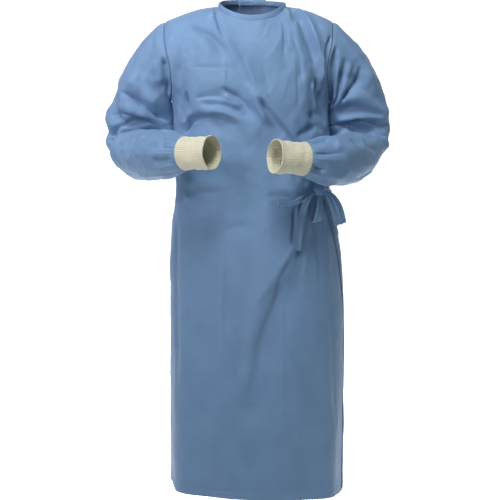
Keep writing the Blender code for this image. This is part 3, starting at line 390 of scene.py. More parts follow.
SLEEVE_CREASES = {
    RIGHT: (
        # over the front of the elbow
        Crease(((-0.14, 0.09), (-0.10, 0.196), (-0.03, 0.258), (0.10, 0.317), (0.27, 0.375),
                (0.45, 0.44)), 0.0062, -0.0096, 0.35),
        Crease(((-0.30, 0.12), (-0.26, 0.21), (-0.20, 0.29), (-0.12, 0.36)),
               0.0110, 0.0044, 0.0),
        Crease(((0.24, 0.10), (0.26, 0.18), (0.32, 0.25), (0.46, 0.33)), 0.0090, 0.0062, 0.0),
        Crease(((2.10, 0.02), (1.75, 0.11), (1.40, 0.183), (1.05, 0.240), (1.05, 0.30),
                (1.20, 0.37)), 0.0058, -0.0088, -0.2),
        Crease(((0.86, 0.08), (0.70, 0.16), (0.62, 0.24), (0.70, 0.32)), 0.0062, -0.0040, 0.2),
        Crease(((2.4, 0.10), (2.2, 0.18), (2.1, 0.27), (2.0, 0.36), (1.8, 0.43)),
               0.0070, -0.0075, 0.0),
        # on the forearm
        Crease(((4.70, 0.17), (4.74, 0.10), (4.72, 0.03), (4.58, 0.96)), 0.0068, -0.0066, -0.3),
        Crease(((5.34, 0.14), (5.30, 0.05), (5.10, 0.96)), 0.0100, 0.0034, 0.0),
        Crease(((3.70, 0.09), (3.90, 0.01), (4.05, 0.93)), 0.0080, -0.0048, 0.2),
        Crease(((3.00, 0.96), (3.50, 0.88), (4.20, 0.83)), 0.0085, -0.0036, 0.0),
        Crease(((6.36, 0.15), (6.46, 0.10), (6.62, 0.03)), 0.0052, -0.0030, 0.0),
        Crease(((6.10, 0.975), (6.50, 0.960), (6.95, 0.955)), 0.0056, -0.0034, 0.0),
        Crease(((5.9, 0.21), (6.4, 0.19), (6.9, 0.18)), 0.0060, -0.0030, 0.0),
        Crease(((4.60, 0.86), (5.40, 0.84), (6.40, 0.83)), 0.0080, 0.0026, 0.0),
        # beside the armhole
        Crease(((-0.90, 0.22), (-0.84, 0.262), (-0.79, 0.317), (-0.78, 0.371), (-0.60, 0.430)),
               0.0066, -0.0088, 0.3),
        Crease(((-0.72, 0.20), (-0.66, 0.26), (-0.60, 0.33)), 0.0100, 0.0034, 0.0),
        Crease(((-0.88, 0.10), (-0.72, 0.15), (-0.52, 0.19), (-0.30, 0.20)),
               0.0110, -0.0026, 0.0),
        Crease(((-0.84, 0.04), (-0.60, 0.07), (-0.36, 0.08)), 0.0140, -0.0020, 0.0),
        # behind
        Crease(((-0.80, 0.68), (-0.60, 0.72), (-0.30, 0.76), (0.0, 0.80)), 0.0090, -0.0046, 0.2),
        Crease(((0.20, 0.64), (0.60, 0.70), (1.10, 0.78), (1.50, 0.87)), 0.0080, -0.0050, 0.3),
        Crease(((1.30, 0.64), (1.80, 0.71), (2.30, 0.80)), 0.0080, 0.0036, 0.0),
        Crease(((1.90, 0.60), (2.40, 0.68), (2.90, 0.78), (3.30, 0.86)), 0.0076, -0.0044, 0.0),
        Crease(((-0.10, 0.93), (0.60, 0.95), (1.30, 0.97)), 0.0090, -0.0032, 0.0),
        Crease(((3.9, 0.62), (4.8, 0.68), (5.9, 0.72)), 0.0090, -0.0034, 0.0),
    ),
    LEFT: (
        # over the front of the elbow
        Crease(((0.10, 0.42), (-0.02, 0.36), (-0.02, 0.29), (0.16, 0.21), (0.50, 0.15),
                (0.86, 0.10)), 0.0105, -0.0082, -0.3),
        Crease(((-0.26, 0.38), (-0.25, 0.30), (-0.17, 0.22), (-0.02, 0.14)),
               0.0090, 0.0050, 0.0),
        Crease(((0.50, 0.40), (0.54, 0.31), (0.68, 0.22), (1.02, 0.11)), 0.0064, 0.0062, 0.0),
        Crease(((0.92, 0.38), (0.98, 0.30), (1.16, 0.20), (1.40, 0.12)), 0.0048, -0.0050, 0.2),
        Crease(((1.30, 0.43), (1.50, 0.35), (1.75, 0.27), (1.95, 0.19), (1.90, 0.10),
                (1.80, 0.04)), 0.0062, -0.0090, -0.2),
        Crease(((2.6, 0.12), (2.4, 0.19), (2.3, 0.27), (2.2, 0.35)), 0.0070, -0.0060, 0.0),
        # on the forearm
        Crease(((6.98, 0.035), (6.74, 0.037), (6.20, 0.046), (5.80, 0.060)),
               0.0030, -0.0016, 0.5),
        Crease(((5.90, 0.19), (5.98, 0.13), (6.20, 0.06)), 0.0048, 0.0024, 0.3),
        Crease(((5.29, 0.17), (4.96, 0.10), (4.10, 0.050), (3.60, 0.02)),
               0.0110, -0.0036, 0.2),
        Crease(((4.60, 0.20), (4.70, 0.13), (5.00, 0.06)), 0.0080, 0.0030, 0.0),
        Crease(((6.98, 0.965), (6.80, 0.915), (6.60, 0.870), (6.34, 0.829)),
               0.0046, -0.0046, 0.0),
        Crease(((6.95, 0.870), (6.75, 0.905), (6.50, 0.930)), 0.0044, -0.0032, 0.0),
        Crease(((3.30, 0.92), (4.20, 0.88), (5.20, 0.86)), 0.0090, -0.0030, 0.0),
        Crease(((5.9, 0.24), (6.4, 0.21), (6.9, 0.20)), 0.0060, -0.0030, 0.0),
        # fanning up from the underarm
        Crease(((-0.40, 0.460), (-0.74, 0.396), (-0.82, 0.300), (-0.88, 0.220),
                (-0.93, 0.165)), 0.0056, -0.0078, 0.2),
        Crease(((-0.34, 0.430), (-0.62, 0.360), (-0.72, 0.280), (-0.80, 0.200)),
               0.0058, 0.0046, 0.0),
        Crease(((-0.30, 0.425), (-0.52, 0.345), (-0.62, 0.262), (-0.72, 0.180)),
               0.0052, -0.0054, 0.0),
        Crease(((-0.16, 0.412), (-0.42, 0.322), (-0.54, 0.240), (-0.62, 0.171)),
               0.0062, 0.0054, 0.0),
        Crease(((-0.18, 0.385), (-0.34, 0.305), (-0.36, 0.242), (-0.42, 0.190),
                (-0.50, 0.140)), 0.0058, -0.0072, -0.3),
        Crease(((-0.24, 0.20), (-0.32, 0.14), (-0.42, 0.10)), 0.0120, 0.0034, 0.0),
        Crease(((-0.95, 0.07), (-0.70, 0.09), (-0.50, 0.08)), 0.0120, -0.0022, 0.0),
        # behind
        Crease(((-0.80, 0.66), (-0.60, 0.70), (-0.30, 0.74), (0.0, 0.79)), 0.0090, -0.0046, 0.2),
        Crease(((-0.80, 0.78), (-0.50, 0.82), (-0.20, 0.86)), 0.0100, -0.0030, 0.0),
        Crease(((0.20, 0.64), (0.70, 0.71), (1.20, 0.80), (1.60, 0.88)), 0.0080, -0.0050, 0.3),
        Crease(((1.30, 0.62), (1.80, 0.70), (2.30, 0.80)), 0.0080, 0.0036, 0.0),
        Crease(((2.00, 0.60), (2.50, 0.69), (3.00, 0.79), (3.40, 0.87)), 0.0076, -0.0044, 0.0),
        Crease(((4.0, 0.62), (4.9, 0.67), (6.0, 0.71)), 0.0090, -0.0034, 0.0),
    ),
}

# The bow and the ties
KNOT_PLACE = (0.147, -0.450)
KNOT_SIZE = np.array((0.016, 0.012, 0.014))
KNOT_LIFT = 0.024
STRAP = 0.0010
PINCH = 0.40
PINCH_SPAN = 0.3
STRAP_BOW = 0.0015

Rest = namedtuple("Rest", "x z lift")
FRONT_TIE_RESTS = (
    Rest(0.060, -0.480, 0.0022),
    Rest(0.090, -0.480, 0.0022),
    Rest(0.118, -0.468, 0.0100),
)
FRONT_LOOP_RESTS = (
    Rest(0.146, -0.490, 0.031),
    Rest(0.146, -0.513, 0.028),
    Rest(0.146, -0.527, 0.019),
    Rest(0.146, -0.515, 0.010),
    Rest(0.146, -0.490, 0.011),
)
FRONT_TAIL_RESTS = (
    Rest(0.124, -0.474, 0.020),
    Rest(0.116, -0.508, 0.010),
    Rest(0.111, -0.550, 0.006),
    Rest(0.109, -0.594, 0.005),
)
FlapRest = namedtuple("FlapRest", "share z lift")
BACK_TIE_RESTS = (
    FlapRest(1.03, -0.462, 0.0014),
    FlapRest(1.08, -0.462, 0.0014),
)
SIDE_TAIL_RESTS = (
    FlapRest(1.10, -0.500, 0.008),
    FlapRest(1.09, -0.530, 0.006),
    FlapRest(1.08, -0.565, 0.005),
)
Offset = namedtuple("Offset", "x y z")
SIDE_LOOP_OFFSETS = (
    Offset(0.029, -0.014, -0.018),
    Offset(0.044, -0.008, -0.050),
    Offset(0.052, 0.003, -0.083),
    Offset(0.044, 0.014, -0.052),
    Offset(0.030, 0.018, -0.023),
)

# Flat cuts, in metres: width, length and area
Cut = namedtuple("Cut", "width length area")


# ---------------------------------------------------------------- curves and shapes


def mix(a, b, share):
    """Part of the way from a to b."""
    return a + (b - a) * share


def ease(value):
    """A smooth step from 0 to 1."""
    value = np.clip(value, 0.0, 1.0)
    return value * value * (3.0 - 2.0 * value)


def unit(vectors):
    """Vectors at length 1."""
    return vectors / np.maximum(np.linalg.norm(vectors, axis=-1, keepdims=True), 1e-12)


def hermite(start, end, start_slope, end_slope, t):
    """A cubic from start to end with the given slopes at t = 0 and t = 1."""
    t2, t3 = t * t, t * t * t
    return (
        start * (2 * t3 - 3 * t2 + 1)
        + start_slope * (t3 - 2 * t2 + t)
        + end * (3 * t2 - 2 * t3)
        + end_slope * (t3 - t2)
    )


def smooth_column(keys, values, at):
    """A smooth curve through values whose keys rise."""
    keys, values = np.asarray(keys, float), np.asarray(values, float)
    slopes = np.empty_like(values)
    slopes[1:-1] = (values[2:] - values[:-2]) / (keys[2:] - keys[:-2])
    slopes[0] = (values[1] - values[0]) / (keys[1] - keys[0])
    slopes[-1] = (values[-1] - values[-2]) / (keys[-1] - keys[-2])
    i = np.clip(np.searchsorted(keys, at) - 1, 0, len(keys) - 2)
    step = keys[i + 1] - keys[i]
    t = (at - keys[i]) / step
    return hermite(values[i], values[i + 1], slopes[i] * step, slopes[i + 1] * step, t)


def column(table, name, at):
    """A table's named column, read smoothly at places along its first column."""
    return smooth_column([row[0] for row in table], [getattr(row, name) for row in table], at)


def smooth_route(points, t):
    """Places on a smooth route through points, t running from 0 to 1."""
    points = np.asarray(points, float)
    keys = np.linspace(0.0, 1.0, len(points))
    return np.stack([smooth_column(keys, points[:, k], t) for k in range(points.shape[1])], -1)


def signed_power(value, power):
    """A power of the value's size, with the value's sign."""
    return np.sign(value) * np.abs(value) ** power


def solid_ripple(points, size, seed, count=8):
    """A smooth random rise from about -1 to 1 at points in space, with bumps of about size."""
    random = np.random.default_rng(seed)
    total = np.zeros(points.shape[:-1])
    for _ in range(count):
        direction = unit(random.normal(size=3)) * random.uniform(0.7, 1.4)
        bend = unit(random.normal(size=3)) * 0.8
        phase, turn = random.uniform(0, 2 * math.pi, 2)
        warp = 1.1 * np.sin(points @ bend * (2 * math.pi / size) + turn)
        total += np.sin(points @ direction * (2 * math.pi / size) + phase + warp)
    return total / math.sqrt(count)


def crumple(points, size, seed):
    """Thin random ridges, as in cloth that has been packed tight."""
    return np.exp(-((solid_ripple(points, size, seed) / 0.4) ** 2))


# ---------------------------------------------------------------- the gown's surfaces


def ring_point(angle, z):
    """Points of the body's level section. Angle 0 is the wearer's left, 90 degrees the back."""
    across, deep = np.cos(angle), np.sin(angle)
    depth = np.where(deep > 0, column(BODY, "back", z), column(BODY, "front", z))
    power = 2 / column(BODY, "squareness", z)
    x = column(BODY, "centre_x", z) + column(BODY, "half_width", z) * signed_power(across, power)
    y = depth * signed_power(deep, power)
    slope = HEM_SLOPE * x * ease((HEM_SLOPE_START - z) / HEM_SLOPE_SPAN)
    return np.stack([x, y, z + slope], -1)


def ring_place(half, s, v):
    """(angle, height) on the body's rings, for v up to 2, the armhole's middle."""
    turn = (np.clip(v, 1, 2) - 1) * math.pi / 2
    arc = ARMHOLE_MIDDLE_Z - (ARMHOLE_MIDDLE_Z - UNDERARM_Z) * np.cos(turn)
    z = np.where(v <= 1, mix(HEM_Z, UNDERARM_Z, v), arc)
    depth = column(BODY, "back" if half == BACK else "front", z)
    share = ARMHOLE_HALF_DEPTH * np.sin(turn) / depth
    end = np.arcsin(share ** (column(BODY, "squareness", z) / 2))
    return math.pi - half * (end + s * (math.pi - 2 * end)), z


def top_edge(half, s):
    """(points, directions) where a panel ends at the shoulder seam or the neck."""
    side = np.where(s > 0.5, LEFT, RIGHT)
    near = np.where(s > 0.5, 1.0 - s, s)
    share = np.clip(near / SHOULDER_SHARE, 0, 1)
    tip = side * SHOULDER_TIP_X + SHOULDER_SHIFT
    seam_z = -SHOULDER_TIP_DROP * (1 - share) ** SHOULDER_CURVE
    seam_y = np.full_like(s, SHOULDER_SEAM_Y)
    seam = np.stack([mix(tip, side * NECK_HALF_WIDTH, share), seam_y, seam_z], -1)
    turn = np.clip(math.pi * (s - SHOULDER_SHARE) / (1 - 2 * SHOULDER_SHARE), 0, math.pi)
    reach = np.abs(np.sin(turn))
    depth = NECK_FRONT_DEPTH if half == FRONT else NECK_BACK_DEPTH
    rise = -NECK_FRONT_DROP if half == FRONT else NECK_BACK_RISE
    neck_y = SHOULDER_SEAM_Y + half * depth * reach**NECK_ROUND
    neck = np.stack([-NECK_HALF_WIDTH * np.cos(turn), neck_y, rise * reach**NECK_DIP_ROUND], -1)
    on_seam = (near <= SHOULDER_SHARE)[..., None]
    across = np.array([0.0, -half, 0.0])
    upward = np.array([0.0, -half * NECK_EDGE_LEAN, NECK_EDGE_RISE])
    turned = unit(mix(across, upward, ease(reach)[..., None]))
    return np.where(on_seam, seam, neck), np.where(on_seam, across, turned)


def body_base(half, s, v):
    """Points of the smooth body: s runs from the wearer's right, 0, to the left, 1, and v from
    the hem, 0, to the underarm, 1, the armhole's middle, 2, and the shoulder or neck, 3."""
    s, v = np.broadcast_arrays(np.asarray(s, float), np.asarray(v, float))
    angle, z = ring_place(half, s, np.minimum(v, 2.0))
    low = ring_point(angle, z)
    top, direction = top_edge(half, s)
    length = np.linalg.norm(top - low, axis=-1, keepdims=True)
    rise = unit(low - ring_point(angle, z - 0.004))
    t = np.clip(v - 2, 0, 1)[..., None]
    yoke = hermite(low, top, rise * length * SHOULDER_FULLNESS, direction * length, t)
    return np.where((v <= 2)[..., None], low, yoke)


def body_normal(half, s, v):
    """The body's outward directions."""
    s, v = np.broadcast_arrays(np.asarray(s, float), np.asarray(v, float))
    step = 0.004
    angle, z = ring_place(half, s, np.minimum(v, 2.0))
    along = ring_point(angle + step, z) - ring_point(angle - step, z)
    up = ring_point(angle, z) - ring_point(angle, z - step)
    below = unit(np.cross(along, up))
    inner = np.clip(s, step, 1 - step)
    lower = np.minimum(v, 3 - step)
    along = body_base(half, inner + step, lower) - body_base(half, inner - step, lower)
    up = body_base(half, inner, lower + step) - body_base(half, inner, lower - step)
    above = unit(-half * np.cross(along, up))
    return np.where((v <= 2)[..., None], below, above)


def fold_rise(folds, place):
    """How far the broad folds move the cloth at flat places."""
    rise = np.zeros(place.shape[:-1])
    for fold in folds:
        nearest = np.full(rise.shape, np.inf)
        for start, end in zip(fold.path, fold.path[1:]):
            start, along = np.array(start), np.subtract(end, start)
            t = np.clip(((place - start) @ along) / (along @ along), 0, 1)
            away = place - start - t[..., None] * along
            nearest = np.minimum(nearest, (away**2).sum(-1))
        rise += fold.rise * np.exp(-nearest / fold.width**2)
    return rise


def crease_rise(creases, points, normals, route_at):
    """How far the fine creases move the cloth. A crease fades towards both of its ends, wavers
    in depth along its way, and has one side steeper than the other."""
    flat_points, flat_normals = points.reshape(-1, 3), normals.reshape(-1, 3)
    rise = np.zeros(len(flat_points))
    for number, crease in enumerate(creases):
        steps = 6 * (len(crease.path) - 1)
        route = route_at(smooth_route(crease.path, np.linspace(0, 1, steps + 1)))
        reach = 5 * crease.width
        low, high = route.min(0) - reach, route.max(0) + reach
        near = np.all((flat_points > low) & (flat_points < high), axis=1)
        here, normal = flat_points[near], flat_normals[near]
        best = np.full(len(here), np.inf)
        side, along_share = np.zeros(len(here)), np.zeros(len(here))
        for k in range(steps):
            start, along = route[k], route[k + 1] - route[k]
            t = np.clip(((here - start) @ along) / max(along @ along, 1e-12), 0, 1)
            away = here - start - t[:, None] * along
            away -= normal * (away * normal).sum(-1, keepdims=True)
            distance = (away**2).sum(-1)
            closer = distance < best
            best = np.where(closer, distance, best)
            turned = np.sign((np.cross(along, away) * normal).sum(-1))
            side = np.where(closer, turned, side)
            along_share = np.where(closer, (k + t) / steps, along_share)
        width = crease.width * (1 + crease.lean * side)
        width *= 0.75 + 0.5 * ease(1 - np.abs(2 * along_share - 1))
        distance = np.sqrt(best)
        profile = np.exp(-((distance / width) ** 2)) * 0.5 + np.exp(-distance / width) * 0.5
        fade = ease(along_share / 0.22) * ease((1 - along_share) / 0.30)
        waver = 1 + 0.22 * np.sin(along_share * (9 + number % 5) + 1.7 * number)
        rise[near] += CREASE_DEPTH * crease.rise * profile * fade * waver
    limit = np.where(rise > 0, RIDGE_LIMIT, TROUGH_LIMIT)
    rise = limit * np.tanh(rise / limit)
    return rise.reshape(points.shape[:-1])


def front_route(half):
    """Turns a crease's x and z into points on the body's front or back."""
    s, v = np.meshgrid(np.linspace(0.0, 1.0, 201), np.linspace(0.0, 3.0, 401))
    base = body_base(half, s, v).reshape(-1, 3)
    flat = KDTree(len(base))
    for number, (x, _, z) in enumerate(base):
        flat.insert((x, z, 0.0), number)
    flat.balance()

    def route_at(places):
        found = []
        for x, z in places:
            near = [(base[number, 1], 1 / (off + 1e-5)) for _, number, off in
                    flat.find_n((x, z, 0.0), 4)]
            total = sum(weight for _, weight in near)
            found.append((x, sum(y * weight for y, weight in near) / total, z))
        return np.array(found)

    return route_at


def seam_puckers(points, distance):
    """The small waves that a sewn seam draws into the cloth beside it."""
    wave = solid_ripple(points, 0.016, 41) * 0.00055
    roll = SEAM_ROLL * np.exp(-((distance / SEAM_ROLL_WIDTH) ** 2))
    return wave * np.exp(-((distance / 0.014) ** 2)) - roll


def body_surface(half, s, v, lift=0.0, seams=(True, True), free_edge=None):
    """Points of the creased cloth of a body panel. Seams says which side edges are sewn, and
    free_edge gives the distance to a free edge, which has a turned hem."""
    s, v = np.broadcast_arrays(np.asarray(s, float), np.asarray(v, float))
    base, normal = body_base(half, s, v), body_normal(half, s, v)
    angle = ring_place(half, s, np.minimum(v, 2.0))[0]
    inner = np.minimum(np.abs(s), np.abs(1 - s))
    on_front = half * np.sin(math.pi * s) < 0
    rise = np.zeros(s.shape)
    for mask, folds, creases, side in (
        (on_front, FRONT_FOLDS, FRONT_CREASES, FRONT),
        (~on_front, BACK_FOLDS, BACK_CREASES, BACK),
    ):
        if mask.any():
            here = base[mask]
            broad = fold_rise(folds, here[:, [0, 2]])
            broad *= (ease(inner / FOLD_FADE) * ease((3 - v) / TOP_FADE))[mask]
            fine = crease_rise(creases, here, normal[mask], ROUTES[side])
            fine *= (ease(inner / CREASE_FADE) * ease((3 - v) / 0.08))[mask]
            rise[mask] = broad + fine
    wave = HEM_WAVE_RISE * np.sin(HEM_WAVES * angle)
    rise += wave * ease((HEM_WAVE_START - base[..., 2]) / HEM_WAVE_SPAN)
    edge = ease(inner / 0.03) * ease((3 - v) / 0.10)
    skirt = ease((-0.42 - base[..., 2]) / 0.25)
    rise += edge * 0.0011 * solid_ripple(base * (1, 1, 0.6), 0.110, 3)
    rise += edge * mix(0.0005, 0.00025, skirt) * solid_ripple(base, 0.034, 5)
    rise += edge * mix(0.0011, 0.00030, skirt) * crumple(base, 0.085, 7)
    hem = v * (UNDERARM_Z - HEM_Z)
    rise += hem_rise(hem, base)
    beside_left = np.exp(-(((1 - s) * 0.62 / SIDE_WIDTH) ** 2))
    rise += SIDE_RISE * beside_left * ease((SIDE_TOP - base[..., 2]) / 0.12)
    beside_right = np.exp(-((s * 0.62 / SIDE_WIDTH) ** 2))
    drop = HEM_DROP_LEFT * beside_left - HEM_RISE_RIGHT * beside_right
    base = base - drop[..., None] * (1 - ease(v / 0.25))[..., None] * np.array((0.0, 0.0, 1.0))
    width = 0.62
    if seams[0]:
        rise += seam_puckers(base, np.abs(s) * width)
    if seams[1]:
        rise += seam_puckers(base, np.abs(1 - s) * width)
    if free_edge is not None:
        rise += hem_rise(free_edge, base)
    return base + normal * (rise + lift)[..., None]


def hem_rise(distance, points):
    """The step of a turned hem, with the line of stitches pressed in and slight puckers."""
    step = HEM_STEP * (1 - ease((distance - HEM_DEPTH) / 0.003))
    line = 0.0006 * np.exp(-(((distance - HEM_DEPTH + 0.002) / 0.0018) ** 2))
    pucker = 0.0005 * solid_ripple(points, 0.018, 43) * np.exp(-((distance / 0.03) ** 2))
    return step - line + pucker


def edge_share(table, top_share, v):
    """Where a back flap's free edge runs, as a share of the back from the right side seam."""
    _, z = ring_place(BACK, np.full_like(v, 0.5), np.minimum(v, 2.0))
    return mix(column(table, "share", z), top_share, ease(v - 2))


def outer_lift(s, v):
    """How far the outer flap stands over the under flap."""
    start = mix(LAP_START_LOW, LAP_START_TOP, np.clip((v - 1) / 2, 0, 1))
    return LAP * ease((s - start) / LAP_RAMP)


def inset(points, towards):
    """Points moved a seam's gap towards their neighbours."""
    return points + unit(towards - points) * SEAM_GAP * 1.5


def front_cloth(c, v, lift=0.0):
    """Points of the front panel: c runs from the right side seam to the left one."""
    return body_surface(FRONT, c, v, lift)


def outer_cloth(c, v, lift=0.0):
    """Points of the outer flap: c runs from the right side seam to the free edge."""
    end = edge_share(OUTER_EDGE, OUTER_EDGE_TOP, v)
    s = c * end
    off = (end - s) * 0.62
    hug = FLAP_HUG * np.exp(-((off / FLAP_HUG_WIDTH) ** 2)) * ease((3 - v) / 0.3)
    over = outer_lift(s, v) - hug
    return body_surface(BACK, s, v, over + lift, (True, False), off + 0.012)


def under_cloth(c, v, lift=0.0):
    """Points of the under flap: c runs from the left side seam to the free edge."""
    end = edge_share(UNDER_EDGE, UNDER_EDGE_TOP, v)
    s = mix(1.0, end, c)
    return body_surface(BACK, s, v, lift, (False, True), (s - end) * 0.62 + 0.012)


def armhole(side, q):
    """(points, directions) of the armhole's edge: q runs from the shoulder tip, 0, over the
    front, 0.25, to the underarm, 0.5, and up the back, 0.75."""
    s = np.full_like(q, 0.0 if side == RIGHT else 1.0)
    step = 0.02
    found = []
    for half, v in ((FRONT, 3 - 4 * q), (BACK, 4 * q - 1)):
        v = np.clip(v, 1, 3)
        ahead = body_base(half, s, np.minimum(v + step, 3))
        behind = body_base(half, s, np.maximum(v - step, 1))
        found.append((body_base(half, s, v), unit(ahead - behind), body_normal(half, s, v)))
    in_front = (q <= 0.5)[..., None]
    point, along, normal = (np.where(in_front, a, b) for a, b in zip(*found))
    inside = unit(np.cross(along, normal))
    centre = np.array([side * SHOULDER_TIP_X, 0.0, ARMHOLE_MIDDLE_Z])
    away = ((inside * (centre - point)).sum(-1) < 0)[..., None]
    inside = np.where(away, -inside, inside)
    turn = np.radians(CAP_TURN + UNDERARM_TURN * np.sin(math.pi * q) ** 6)[..., None]
    return point, unit(inside * np.cos(turn) + normal * np.sin(turn))


def arm_frame(side, w):
    """(points, radii, tangent, outward, fore) of the sleeve's middle line at stations w."""
    arm = RIGHT_ARM if side == RIGHT else LEFT_ARM
    keys = np.arange(len(arm))

    def read(name, at):
        return smooth_column(keys, [getattr(row, name) for row in arm], at)

    def place(at):
        return np.stack([read(name, at) for name in "xyz"], -1)

    radii = [read(name, w)[..., None] for name in ("across", "fore", "aft")]
    tangent = unit(place(w + 0.05) - place(w - 0.05))
    forward = FOREARM_TURN * ease((w - 1.5) / 3)
    outward = np.stack([np.full_like(w, side), -forward, np.zeros_like(w)], -1)
    outward = unit(outward - tangent * (outward * tangent).sum(-1, keepdims=True))
    return place(w), radii, tangent, outward, np.cross(tangent, outward) * side


def section_point(side, w, q):
    """Points of the sleeve's plain sections at stations w."""
    centre, (across, fore_reach, aft_reach), _, outward, fore = arm_frame(side, w)
    turn = 2 * math.pi * q[..., None]
    reach = np.where(np.sin(turn) > 0, fore_reach, aft_reach)
    return centre + outward * across * np.cos(turn) + fore * reach * np.sin(turn)


def sleeve_base(side, w, q):
    """Points of the smooth sleeve: w runs from the armhole, -1, over the stations, 0 on."""
    w, q = np.broadcast_arrays(np.asarray(w, float), np.asarray(q, float) % 1)
    arm = section_point(side, np.maximum(w, 0.0), q)
    start, direction = armhole(side, q)
    start = start + direction * SEAM_GAP
    zero = np.zeros_like(w)
    end = section_point(side, zero, q)
    tangent = arm_frame(side, zero)[2]
    length = np.linalg.norm(end - start, axis=-1, keepdims=True)
    t = np.clip(w + 1, 0, 1)[..., None]
    leaving, arriving = direction * length * CAP_FULLNESS, tangent * length * ARM_FULLNESS
    return np.where((w >= 0)[..., None], arm, hermite(start, end, leaving, arriving, t))


def sleeve_length(w):
    """The length along a sleeve from its first station, less above it where w counts more."""
    return w * STATION_LENGTH * np.where(w < 0, CAP_STRETCH, 1.0)


def sleeve_cloth(side, w, q, lift=0.0):
    """Points of the creased cloth of a sleeve, with the gathers above the cuff."""
    w, q = np.broadcast_arrays(np.asarray(w, float), np.asarray(q, float) % 1)
    base = sleeve_base(side, w, q)
    step = 0.01
    low, high = np.maximum(w - step, -1), np.minimum(w + step, WRIST)
    along = sleeve_base(side, high, q) - sleeve_base(side, low, q)
    around = sleeve_base(side, w, q + step) - sleeve_base(side, w, q - step)
    normal = unit(np.cross(around, along) * side)
    rise = np.zeros(w.shape)
    for shift in (-1, 0, 1):
        place = np.stack([sleeve_length(w), (q + shift) * SLEEVE_ROUND], -1)
        scaled = [
            Fold(
                [
                    (float(sleeve_length(np.float64(a))), (b - (b > 0.9)) * SLEEVE_ROUND)
                    for a, b in fold.path
                ],
                fold.width,
                fold.rise,
            )
            for fold in SLEEVE_FOLDS[side]
        ]
        rise += fold_rise(scaled, place)
    rise *= ease((w + 1) / 0.25) * ease((WRIST - w) / 0.8)
    rise *= 1 - 0.8 * np.exp(-(((q - 0.5) / 0.12) ** 2))

    def route_at(places):
        return sleeve_base(side, places[:, 0], places[:, 1])

    creases = [
        crease._replace(path=unwrapped(crease.path)) for crease in SLEEVE_CREASES[side]
    ]
    fine = crease_rise(creases, base, normal, route_at)
    fine *= ease((w + 1) / 0.06) * ease((WRIST - w) / 0.10)
    fine *= 1 - 0.7 * np.exp(-(((q - 0.5) / 0.07) ** 2)) * ease((1.5 - w) / 1.0)
    rise += fine
    swing = 2 * math.pi * q
    gather = np.cos(GATHERS * swing + 0.5 * np.sin(3 * swing)) * (1 + 0.3 * np.sin(5 * swing))
    rise += GATHER_DEPTH * gather * ease((w - 5.4) / 0.9) * ease((WRIST - w) / 0.35)
    small = np.cos(27 * swing + 1.3 * np.sin(4 * swing)) * (0.6 + 0.4 * np.sin(7 * swing))
    rise += 0.0011 * small * ease((w - 6.1) / 0.7) * ease((WRIST - w) / 0.12)
    inner = np.exp(-(((q - 0.5) / 0.10) ** 2)) * ease((w + 0.8) / 0.6) * ease((2.5 - w) / 0.9)
    rise += INNER_REST[side] * inner
    edge = ease((w + 1) / 0.10) * ease((WRIST - w) / 0.3)
    rise += edge * 0.0014 * solid_ripple(base, 0.095, 11 + side)
    rise += edge * 0.0006 * solid_ripple(base, 0.032, 15 + side)
    rise += edge * 0.0014 * crumple(base, 0.105, 19 + side)
    rise += seam_puckers(base, (w + 1) * np.where(np.abs(q - 0.5) < 0.2, 0.07, 0.16))
    rise += seam_puckers(base, (WRIST - w) * STATION_LENGTH)
    return base + normal * (rise + lift)[..., None]


def unwrapped(path):
    """A path round a sleeve whose shares pass 1 without a jump."""
    found = [path[0]]
    for w, q in path[1:]:
        q += round(found[-1][1] - q)
        found.append((w, q))
    return tuple(found)


ROUTES = {FRONT: front_route(FRONT), BACK: front_route(BACK)}


# ---------------------------------------------------------------- materials


def socket(shader, name, value):
    """Sets a constant on a shader's socket."""
    shader.inputs[name].default_value = value


